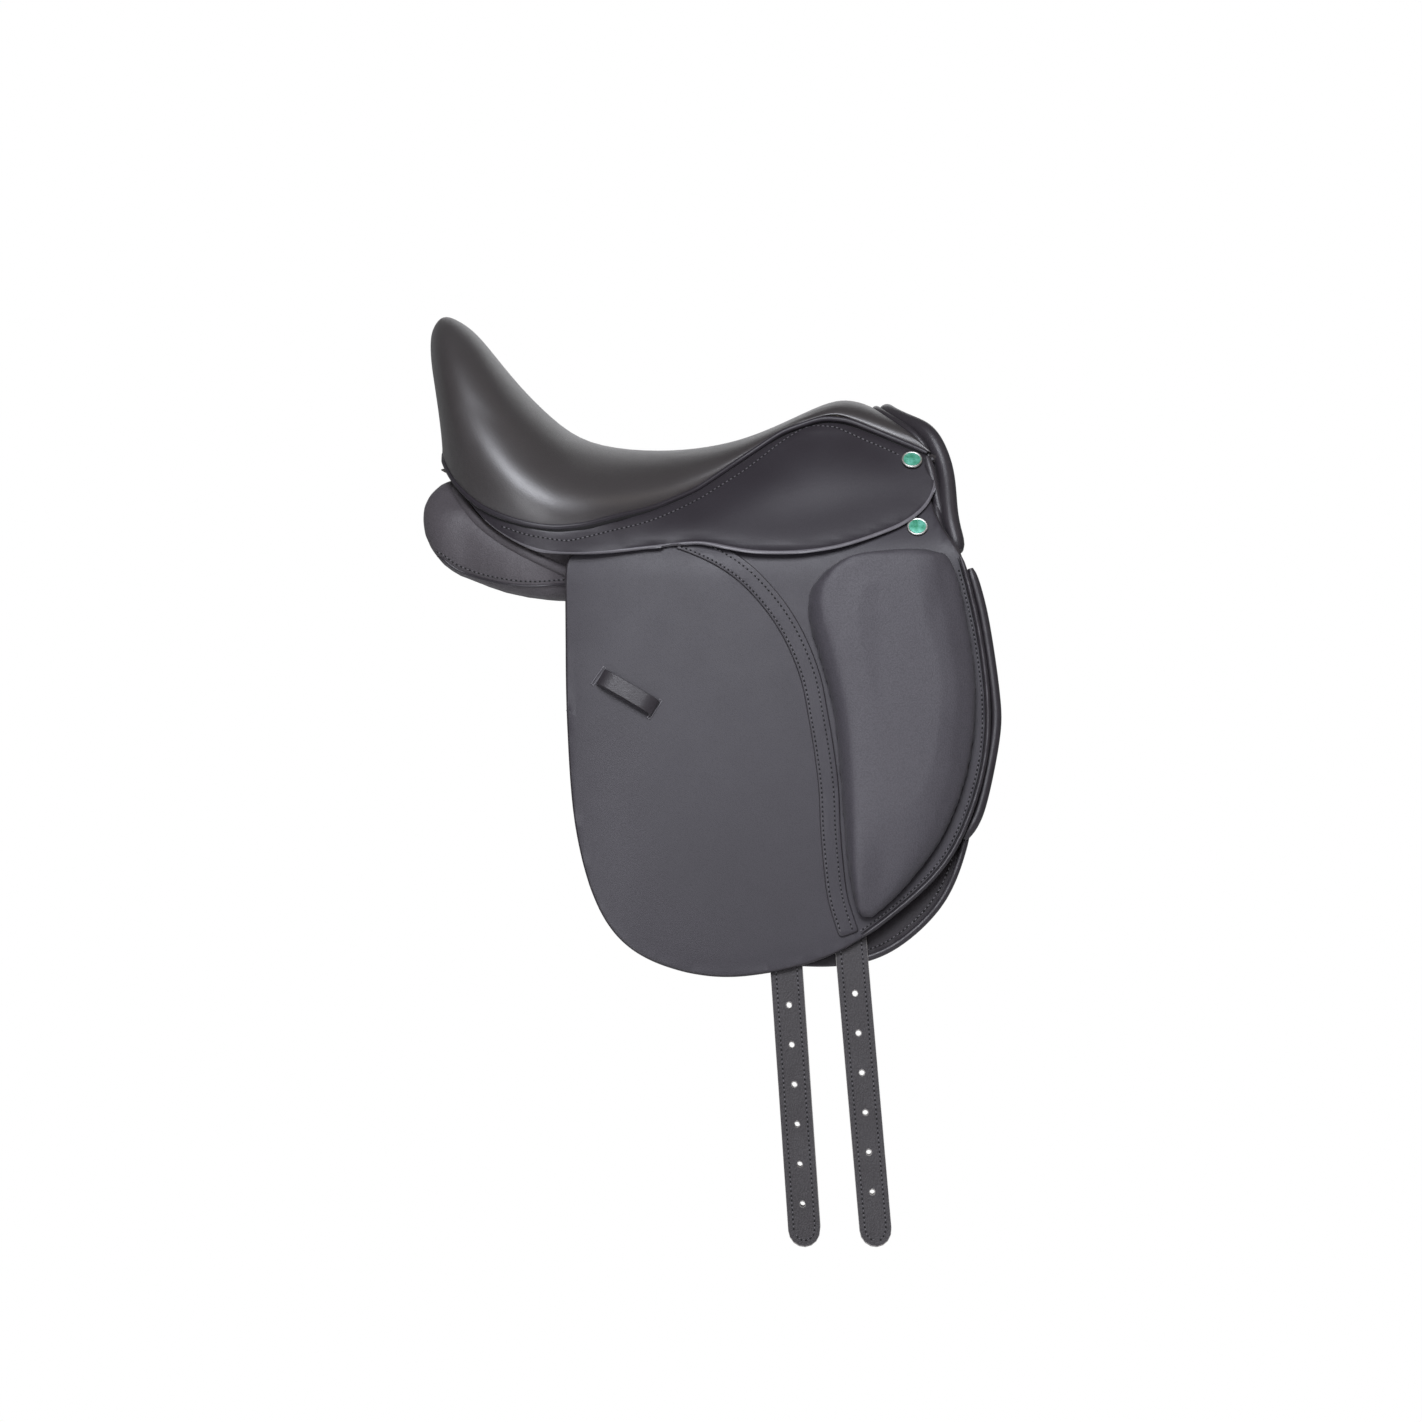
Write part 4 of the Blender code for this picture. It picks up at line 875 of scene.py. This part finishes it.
def stitches(name, rows):
    """Rows of stitches with a black ball of painted shade for the needle hole between each two. Each row is a
    list of (point, normal).
    """
    shape = bmesh.new()
    for row in rows:
        for k, (place, out) in enumerate(row[:-1]):
            ahead = row[k + 1][0] - place
            if not 1e-6 < ahead.length < 2 * STITCH_PITCH:
                continue
            run = (ahead - out * ahead.dot(out)).normalized()
            turned = Matrix((run, out.cross(run), out)).transposed().to_4x4()
            for at, size, finish in ((place, NEEDLE_HOLE_SHADE, 1), (place + ahead / 2, STITCH, 0)):
                moved = Matrix.Translation(at + out * 0.1 * MM) @ turned @ Matrix.Diagonal((*size, 1))
                ball = bmesh.ops.create_icosphere(shape, subdivisions=1, radius=0.5, matrix=moved)
                for face in {face for vert in ball["verts"] for face in vert.link_faces}:
                    face.material_index = finish
    return object_of(name, shape, THREAD, PAINTED_SHADE, angle=180)


# %% [markdown]
# ## Stuffed pieces
# A stuffed piece is pumped up in a cloth simulation: a copy of its solid is remeshed to small even
# squares and pressed from inside for twenty frames. The way that each point moved is evened out with
# its neighbours', so that firm leather stays free of puckers, and is kept under a cap.

# %% Helper for stuffed pieces
PRESSURE = 4.0
STRETCH_STIFFNESS = 15
BEND_STIFFNESS = 3
FRAMES = 20
PUCKER_ROUNDS = 30


def stuffed(name, source, material, voxel, cap, held, shaped=None):
    """A padded copy of a solid. `held` tells which points stay where they are."""
    obj = object_of(name, merged(source), material, angle=180)
    remesh = obj.modifiers.new("voxels", "REMESH")
    remesh.mode = "VOXEL"
    remesh.voxel_size = voxel
    even = obj.modifiers.new("even", "SMOOTH")
    even.factor = 0.5
    even.iterations = 6
    bake(obj)
    mesh = obj.data
    rest = coordinates(mesh)
    pins = obj.vertex_groups.new(name="held")
    pins.add([v.index for v in mesh.vertices if held(v.co)], 1.0, "REPLACE")
    cloth = obj.modifiers.new("cloth", "CLOTH")
    cloth.settings.use_pressure = True
    cloth.settings.uniform_pressure_force = PRESSURE
    cloth.settings.effector_weights.gravity = 0
    cloth.settings.vertex_group_mass = pins.name
    cloth.settings.tension_stiffness = STRETCH_STIFFNESS
    cloth.settings.bending_stiffness = BEND_STIFFNESS
    cloth.collision_settings.use_self_collision = False
    for frame_number in range(1, FRAMES + 1):
        scene.frame_set(frame_number)
    graph = bpy.context.evaluated_depsgraph_get()
    step_out = coordinates(obj.evaluated_get(graph).to_mesh()) - rest
    ends = np.empty(len(mesh.edges) * 2, np.int32)
    mesh.edges.foreach_get("vertices", ends)
    first, second = ends.reshape(-1, 2).T
    touching = np.bincount(ends, minlength=len(rest))[:, None]
    for _ in range(PUCKER_ROUNDS):
        around = np.zeros_like(step_out)
        np.add.at(around, first, step_out[second])
        np.add.at(around, second, step_out[first])
        step_out = (step_out + around / touching) / 2
    far = np.linalg.norm(step_out, axis=1, keepdims=True)
    limited = rest + step_out * np.minimum(1.0, cap / np.maximum(far, 1e-9))
    obj.modifiers.clear()
    obj.vertex_groups.clear()
    mesh.vertices.foreach_set("co", limited.ravel())
    scene.frame_set(1)
    most = round(float(far.max() / MM), 1)
    print("  ", name, "pumped up by", most, "mm at most, capped at", cap / MM)
    if shaped:
        for vert in mesh.vertices:
            vert.co = shaped(vert.co)
    mesh.shade_smooth()
    return obj


# %% [markdown]
# ## Seat
# The seat is one piece of soft leather drawn over foam, from the welt on one side to the welt on
# the other. The outer face of its solid gives the shape. Its quads are joined again and subdivided,
# and its flanks are filled out a little above the welt, as firm stuffing does. The welt's line is
# kept from standing out behind the cantle's foot.

# %% Seat leather
WELT_REAR = -238 * MM
FULLNESS = 6 * MM
FULL_REACH = 68 * MM
welt_line = eased(middle_line("seat_welt", (230, 76, 120)), 5 * MM, 3, closed=False)
for p in welt_line:
    p.x = max(p.x, WELT_REAR)
seat = bake(refined("seat", "seat_cover", SEAT_LEATHER, 2))
seam_tree = KDTree(len(welt_line))
for k, p in enumerate(welt_line):
    seam_tree.insert(p, k)
seam_tree.balance()
full = coordinates(seat.data)
for k, normal in enumerate([vert.normal.y for vert in seat.data.vertices]):
    share = seam_tree.find(full[k])[2] / FULL_REACH
    full[k, 1] += normal * FULLNESS * math.sin(math.pi * min(share, 1.0))
seat.data.vertices.foreach_set("co", full.ravel())
seat.data.update()
fit(seat, "saddle", "leather", "seat_cover")
foam = refined("seat_filling", "seat_foam", FOAM, 1)
fit(foam, "saddle", "foam", "seat_foam")
lining = refined("gullet_cloth", "gullet_lining", LINEN, 1)
fit(lining, "saddle", "webbing", "gullet_lining")
for name in ("head_facing", "rear_facing"):
    fit(refined(name + "_leather", name, PANEL_LEATHER, 1), "saddle", "leather", name)
print("seat from", len(seat.data.polygons), "faces")

# %% [markdown]
# ## Rolls and welts
# Round the seat runs a thin piped welt. The pommel is framed by a thick padded roll with a thinner
# one behind it. Under the welt lies a near-black tube of painted shade, so that the seam is dark to
# its bottom.

# %% Rolls and welts
WELT_WIDTH = 5.4 * MM
SHADE_TUBE_WIDTH = 7.6 * MM
SHADE_TUBE_IN = 3.2 * MM
SHADE_TUBE_DOWN = Vector((0, 0, -1.6 * MM))
welt = tube("seat_piping", welt_line, WELT_WIDTH, SKIRT_LEATHER, 12)
fit(welt, "saddle", "leather", "seat_welt")
# A near-black tube under the welt is painted shade, which keeps the seam dark to its bottom.
shade_tube_line = []
for p in welt_line:
    inward = Vector((100 * MM - p.x, -1.6 * p.y, 0)).normalized()
    shade_tube_line.append(p + inward * SHADE_TUBE_IN + SHADE_TUBE_DOWN)
welt_shade_tube = tube("seat_piping_painted_shade", shade_tube_line, SHADE_TUBE_WIDTH, PAINTED_SHADE, 10)
fit(welt_shade_tube, "saddle", "leather")


for name, foot, width in (("pommel_roll", (221, 115, 20), 15.5), ("pommel_welt", (211, 114, 20), 8.5)):
    line = eased(middle_line(name, foot), 5 * MM, 10, closed=False, corner=180)
    fit(tube(name + "_leather", line, width * MM, TRIM_LEATHER, 24), "saddle", "leather", name)
BEAD_LINE = ((192, 82, 128), (196, 86, 114), (200, 91, 97), (203.5, 96, 80), (207, 102, 62),
             (211, 108, 46), (216, 114, 30))
for word, side in SIDES:
    line = [Vector((x, side * y, z)) * MM for x, y, z in BEAD_LINE]
    bead = tube("pommel_bead_" + word, even_points(line, 5 * MM), 9 * MM, TRIM_LEATHER)
    fit(bead, "saddle", "leather")

# %% [markdown]
# ## Skirts and flaps
# On the real saddle the skirt is one sheet, and so is the flap. In the frame each has a fixed part
# and a moving part that meet at a fold.

# %% Fold lines and the flap's bow
HINGE = (Vector((-130, 141, 34.5)) * MM, Vector((222, 128, 47.5)) * MM)
FOLD = (Vector((-38, 139, 51.2)) * MM, Vector((201, 94.5, 104)) * MM)
FLAP_DOWN = (0, 0.17, -0.985)
SKIRT_DOWN = (0, 0.57, -0.82)
BOW = 4.0
DRAW_IN = 6.0


def clamp(value):
    """The value, kept between 0 and 1."""
    return min(1.0, max(0.0, value))


def bowed(place, side):
    """The flap's bow in millimetres: full in the middle, and its rear edge drawn in to the horse."""
    x, z = place.x / MM, place.z / MM
    wide = max(0.0, 1 - ((x - 62) / 190) ** 2)
    high = max(0.0, 1 - ((z + 146) / 190) ** 2)
    drawn = clamp((-62 - x) / 68) ** 2 * clamp((20 - z) / 60)
    return place + Vector((0, side * (BOW * wide * high - DRAW_IN * drawn) * MM, 0))


def bend(obj, child, line, down, above, below, side):
    """Bends a piece across a fold, from a little above the line to a little below it."""
    middle = (line[0] + line[1]) / 2
    run = (line[1] - line[0]).normalized()
    down = Vector(down)
    down = (down - run * down.dot(run)).normalized()
    flip = Vector((1, side, 1))
    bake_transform(obj, "saddle", child, start=(middle - down * above * MM) * flip,
             end=(middle + down * below * MM) * flip)


print("folds:", [round((b - a).length / MM) for a, b in (HINGE, FOLD)], "mm long")

# %% Skirts
FOLD_END_REACH = 20 * MM
WELT_REACH = 9 * MM
TUCK_UP = 0.4 * MM
SKIRT_SEAM = [(-186, 65.5), (-165, 58.5), (-146, 55), (-127, 53), (-108, 57), (-90, 61.5), (-52, 71.5),
              (-14.5, 88.5), (4.5, 100), (26.5, 114), (44.5, 127.5), (62.5, 141.5), (81, 153), (92, 155.8),
              (108.5, 155), (117.5, 152), (135, 144), (154, 136), (168, 129.5)]
for word, side in SIDES:
    upper = rim(facing(merged("skirt_" + word), (0, side, 0.6), 0.15))
    lower = rim(facing(merged("skirt_lobe_" + word), (0, side, 0.6), 0.6))
    outline = across_fold(upper, lower, near_line(FOLD, 1.4 * MM), corners=False)
    outline = [p for p in outline if math.hypot(p.x - FOLD[0].x, p.z - FOLD[0].z) > FOLD_END_REACH]
    outline = eased(outline, 4.5 * MM, 7, corner=180)
    for p in outline:
        if min(math.hypot(p.x - q.x, p.z - q.z) for q in welt_line) < WELT_REACH:
            p.z += TUCK_UP
    target = facing(merged("skirt_" + word, "skirt_lobe_" + word), (0, side, 0.6), 0.15)
    # The skirt's rounded edge takes the light edge paint, which is partly a painted highlight along it.
    skirt = leather_sheet("skirt_sheet_" + word, outline, target, side, (SKIRT_LEATHER, EDGE_PAINT_AND_HIGHLIGHT, SUEDE),
                          thickness=3.2 * MM, step=5 * MM, relax=14, level_rim=False)
    for face in skirt.data.polygons:
        x, y, z = face.center
        if face.material_index == EDGE and seam_tree.find((x, abs(y), z))[2] < WELT_REACH:
            face.material_index = FACE
    surface = surface_of(skirt)
    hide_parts("skirt_" + word, "skirt_lobe_" + word)
    bend(skirt, "skirt_body_" + word, FOLD, SKIRT_DOWN, 5, 5, side)
    row = smooth_line(SKIRT_SEAM, STITCH_PITCH)
    seam = stitches("skirt_seam_" + word, [seen_on(row, surface, side)])
    fit(seam, "saddle", "leather")
    print(skirt.name, len(skirt.data.polygons), "faces,", len(row), "stitches")

# %% Flaps, with their piping, front seam and cover band
FLAP_FINISHES = (FLAP_LEATHER, TRIM_LEATHER, SUEDE)
BAND_THICKNESS = 2.2 * MM
BAND_SEAM = [(-30, 48.5), (-16.5, 43.6), (4.5, 33.8), (25.4, 19.6), (43.6, 1.2), (59.3, -19.6), (72.1, -43.2),
             (82.8, -71.9), (89, -103.2), (94.3, -134.4), (98.4, -168.2), (99.9, -202.5), (102.4, -233.8),
             (106.3, -265.2), (113.9, -291), (117, -300)]
flaps = {}
for word, side in SIDES:
    body = "flap_body_" + word
    lower = rim(facing(merged("flap_" + word), (0, side, 0.17), 0.8))
    upper = rim(facing(merged("flap_top_" + word), (0, side, 0.5), 0.6))
    outline = across_fold(lower, upper, near_line(HINGE, 1.3 * MM), corners=True)
    outline = eased(outline, 4 * MM, 9, corner=180)
    target = facing(merged("flap_" + word, "flap_top_" + word), (0, side, 0.3), 0.6)
    flap = leather_sheet("flap_sheet_" + word, outline, target, side, FLAP_FINISHES,
                         thickness=4 * MM, step=7 * MM, relax=8, shaped=bowed)
    surface = flaps[word] = surface_of(flap)
    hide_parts("flap_" + word, "flap_top_" + word)
    bend(flap, body, HINGE, FLAP_DOWN, 7, 4, side)

    ends = ((224, 38), (134, -301))
    line = edge_line(outline, 1.4 * MM, ends, 5 * MM, surface, side)
    piping = tube("flap_piping_" + word, [p + out * 1.0 * MM for p, out in line], 4.6 * MM, TRIM_LEATHER)
    fit(piping, body, "leather")
    # A thin black tube beside the piping is painted shade in the crease between the piping and the flap.
    line = edge_line(outline, 4.0 * MM, ends, 5 * MM, surface, side)
    low = [p - out * 0.1 * MM for p, out in line]
    crease_shade = tube("flap_piping_shade_line_" + word, low, 1.2 * MM, PAINTED_SHADE, 8)
    fit(crease_shade, body, "leather")
    line = edge_line(outline, 6.4 * MM, ((222, 26), (134, -297)), STITCH_PITCH, surface, side)
    fit(stitches("flap_front_seam_" + word, [line]), body, "leather")

    # The cover band lies between two rows of stitches and goes up under the skirt.
    rear_row = smooth_line(BAND_SEAM, STITCH_PITCH)
    front_row = beside(rear_row, 10.6 * MM)
    edge = beside(rear_row, -2.7 * MM) + beside(rear_row, 15.5 * MM)[::-1]
    band_shape = bmesh.new()
    band_shape.from_mesh(flap.data)
    band = leather_sheet("flap_band_strip_" + word, eased(edge, 3.5 * MM, 1), band_shape, side,
                         FLAP_FINISHES, thickness=BAND_THICKNESS, step=7 * MM)
    for vert in band.data.vertices:
        vert.co.y += side * BAND_THICKNESS
    band_surface = surface_of(band)
    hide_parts("flap_band_" + word)
    bend(band, body, HINGE, FLAP_DOWN, 7, 4, side)
    rows = [seen_on(line, band_surface, side) for line in (rear_row, front_row)]
    seam = stitches("flap_band_seam_" + word, rows)
    bend(seam, body, HINGE, FLAP_DOWN, 7, 4, side)
    print(flap.name, len(flap.data.polygons), "faces,", sum(map(len, rows)), "stitches on the band")

# %% [markdown]
# ## Knee blocks and keepers
# The knee block is a stuffed leather pad on the flap's outer face. Its flat foot is held on the
# flap while the rest is pumped up. The keeper is a short strap through two slits.

# %% Knee blocks and keepers
FLAP_LEAN = 0.175
HELD_BELOW = 2.2 * MM
SLITS = (("rear", ((-94.5, -60), (-105.5, -75.5))), ("front", ((-44.5, -89), (-55.5, -105.5))))


def height_on_flap(place, side):
    """How far a point stands out of the flap's outer plane."""
    share = (place.x - HINGE[0].x) / (HINGE[1].x - HINGE[0].x)
    hinge = HINGE[0].lerp(HINGE[1], share)
    return (side * place.y - hinge.y - FLAP_LEAN * (hinge.z - place.z)) * 0.985


def firm(place, side, full_height):
    """A firm cushion: its sides are steep, and its face is nearly flat."""
    share = clamp(height_on_flap(place, side) / full_height)
    lift = (1 - (1 - share) ** 1.7 - share) * full_height
    return place + Vector((0, side * lift, 0))


for word, side in SIDES:
    body = "flap_body_" + word
    source = merged("knee_block_" + word)
    full_height = max(height_on_flap(vert.co, side) for vert in source.verts)
    source.free()
    print("knee block", round(full_height / MM, 1), "mm high on the", word)
    block = stuffed("knee_pad_" + word, "knee_block_" + word, BLOCK_LEATHER, voxel=3 * MM, cap=3 * MM,
                    held=lambda p: height_on_flap(p, side) < HELD_BELOW,
                    shaped=lambda p: bowed(firm(p, side, full_height), side))
    subdivide(block, 1)
    fit(block, body, "leather", "knee_block_" + word)
    keeper = edged("keeper_strap_" + word, "keeper_" + word, 0.5 * MM, 2, TRIM_LEATHER)
    for vert in keeper.data.vertices:
        vert.co = bowed(vert.co, side)
    fit(keeper, body, "leather", "keeper_" + word)
    # A ring of light edge paint round each slit is partly a painted highlight on the slit's rim.
    for end, corners in SLITS:
        slit = smooth_line(corners, 2 * MM)
        ring = beside(slit, 1.3 * MM) + beside(slit, -1.3 * MM)[::-1]
        ring = [p + out * 0.2 * MM for p, out in seen_on(ring + ring[:1], flaps[word], side)]
        fit(tube(f"keeper_slit_{end}_{word}", ring, 1.4 * MM, EDGE_PAINT_AND_HIGHLIGHT, 8), body, "leather")

# %% [markdown]
# ## Sweat flaps, girth straps and panels
# Between the flap and the horse hangs the thinner sweat flap with a roll down its front. The girth
# straps hang between the two. The panels are stuffed cushions of soft leather.

# %% Sweat flaps
for word, side in SIDES:
    outline = eased(rim(facing(merged("sweat_flap_" + word), (0, side, 0.17), 0.8)), 6 * MM, 14)
    target = facing(merged("sweat_flap_" + word), (0, side, 0.17), 0.8)
    sweat = leather_sheet("sweat_sheet_" + word, outline, target, side, (SWEAT_LEATHER_SHADED, TRIM_LEATHER, SUEDE),
                          thickness=3.2 * MM, step=9 * MM)
    surface = surface_of(sweat)
    fit(sweat, "saddle", "leather", "sweat_flap_" + word)
    line = eased(middle_line("sweat_roll_" + word, (229, side * 140, 60)), 5 * MM, 3, closed=False)
    roll = tube("sweat_roll_leather_" + word, line, 9.6 * MM, TRIM_LEATHER, 20)
    fit(roll, "saddle", "leather", "sweat_roll_" + word)
    line = edge_line(outline, 2.6 * MM, ((231, -206), (120, -321)), 5 * MM, surface, side)
    bead = tube("sweat_binding_" + word, [p + out * 0.8 * MM for p, out in line], 6.4 * MM, TRIM_LEATHER)
    fit(bead, "saddle", "leather")
    line = edge_line(outline, 9.5 * MM, ((234, -20), (120, -316)), STITCH_PITCH, surface, side)
    fit(stitches("sweat_seam_" + word, [line]), "saddle", "leather")

# %% Girth straps
STRAP_ROUNDING = 2.2 * MM
RAW_BEYOND = 0.97  # a face that is turned further away than this is raw edge
for word, side in SIDES:
    out = Vector((0, side, 0.17)).normalized()
    for end in ("front", "rear"):
        source = f"billet_{end}_{word}"
        strap = bake(edged(f"strap_{end}_{word}", source, STRAP_ROUNDING, 3, STRAP_LEATHER, RAW_EDGE))
        for face in strap.data.polygons:
            if abs(face.normal.dot(out)) < RAW_BEYOND:
                face.material_index = EDGE
        surface = surface_of(strap)
        outline = even_points(rim(facing(merged(source), (0, side, 0.17), 0.8)), 8 * MM, closed=True)
        row = even_points(eased(inset_loop(outline, 4.8 * MM), 3 * MM, 0), STITCH_PITCH, closed=True)
        fit(strap, f"{end}_strap_{word}", "strap_leather", source)
        seam = stitches(f"strap_seam_{end}_{word}", [seen_on(row, surface, side)])
        fit(seam, f"{end}_strap_{word}", "strap_leather")
        web = refined(f"web_{end}_{word}", f"girth_web_{end}_{word}", WEBBING, 1)
        fit(web, "saddle", "webbing", f"girth_web_{end}_{word}")
        print(strap.name, len(strap.data.polygons), "faces,", len(row), "stitches")

# %% Panels
GUSSET = [(-247, 36), (-242, 39), (-228, 28.5), (-211, 21.4), (-192.5, 16.4), (-173.7, 13.3),
          (-155, 12.5), (-133, 14), (-110, 14)]
RIDGE = [(-229, 100.8), (-210.3, 73.9), (-186.5, 54.8), (-159.3, 39.5), (-130.2, 25.8), (-112, 18)]
gusset = smooth_line(GUSSET, 5 * MM)
for word, side in SIDES:
    panel = stuffed("panel_pad_" + word, "panel_" + word, PANEL_LEATHER, voxel=5 * MM, cap=2.5 * MM,
                    held=lambda p: False)
    subdivide(panel, 1)
    surface = surface_of(panel)
    fit(panel, "saddle", "leather", "panel_" + word)
    seam = [p + out * 0.2 * MM for p, out in seen_on(gusset, surface, side)]
    fit(tube("panel_piping_" + word, seam, 2.6 * MM, TRIM_LEATHER, 10), "saddle", "leather")
    line = [p - out * 1.2 * MM for p, out in seen_on(smooth_line(RIDGE, 5 * MM), surface, side)]
    fit(tube("panel_roll_" + word, eased(line, 5 * MM, 3, closed=False), 10 * MM, PANEL_LEATHER, 20),
        "saddle", "leather")
    row = [p + Vector((0, 0, 4 * MM)) for p in even_points(gusset, STITCH_PITCH)]
    fit(stitches("panel_seam_" + word, [seen_on(row, surface, side)]), "saddle", "leather")

# %% [markdown]
# ## Buttons
# Each button is turned: a silver rim round a shallow dish of green enamel. Both are spun from a
# profile about the axis of the button's solid.

# %% Buttons
RIM_PROFILE = [(0, 0.0), (9.3, 0.0), (9.5, 0.4), (9.35, 1.2), (8.8, 1.75), (8.1, 1.8), (7.5, 1.35), (0, 1.3)]
DISH_PROFILE = [(0, 1.32), (7.6, 1.32), (7.5, 1.5), (5.0, 1.75), (2.5, 1.88), (0, 1.92)]
SPIN_STEPS = 48


def spun(name, profile, place, out, material):
    """A profile of (radius, height) in millimetres, spun about an axis."""
    shape = bmesh.new()
    verts = [shape.verts.new((r * MM, 0, h * MM)) for r, h in profile]
    edges = [shape.edges.new(pair) for pair in zip(verts, verts[1:])]
    bmesh.ops.spin(shape, geom=verts + edges, axis=(0, 0, 1), cent=(0, 0, 0), angle=2 * math.pi,
                   steps=SPIN_STEPS, use_merge=True)
    bmesh.ops.remove_doubles(shape, verts=shape.verts, dist=1e-6)
    bmesh.ops.recalc_face_normals(shape, faces=shape.faces)
    turned = Vector(out).to_track_quat("Z", "Y").to_matrix().to_4x4()
    bmesh.ops.transform(shape, matrix=Matrix.Translation(place) @ turned, verts=shape.verts)
    return object_of(name, shape, material, angle=50)


for word, side in SIDES:
    for name in ("skirt_button_", "flap_button_"):
        solid = merged(name + word)
        low_face = min(solid.faces, key=lambda f: f.normal.dot(Vector((0, side, 0.6))))
        out = -low_face.normal.copy()
        foot = [v.co.copy() for v in solid.verts if abs((v.co - low_face.verts[0].co).dot(out)) < 1e-5]
        place = sum(foot, Vector()) / len(foot)
        solid.free()
        ring = spun(name + "rim_" + word, RIM_PROFILE, place, out, SILVER)
        fit(ring, "saddle", "steel", name + word)
        fit(spun(name + "enamel_" + word, DISH_PROFILE, place, out, ENAMEL), "saddle", "enamel")
    print("buttons made on the", word)

# %% [markdown]
# ## Tree and stirrup bars
# The tree, the stirrup bars and their catches are hard and nearly hidden. They keep the shape of
# their solids and only get a material.

# %% Nodes that keep their own shape
metal_nodes = [kind + word for kind in ("stirrup_bar_", "bar_catch_") for word, side in SIDES]
for name, material in (("tree", WOOD), *[(name, STEEL) for name in metal_nodes]):
    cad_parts[name].data.materials.clear()
    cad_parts[name].data.materials.append(material)
print("own shape kept:", ["tree", *metal_nodes])
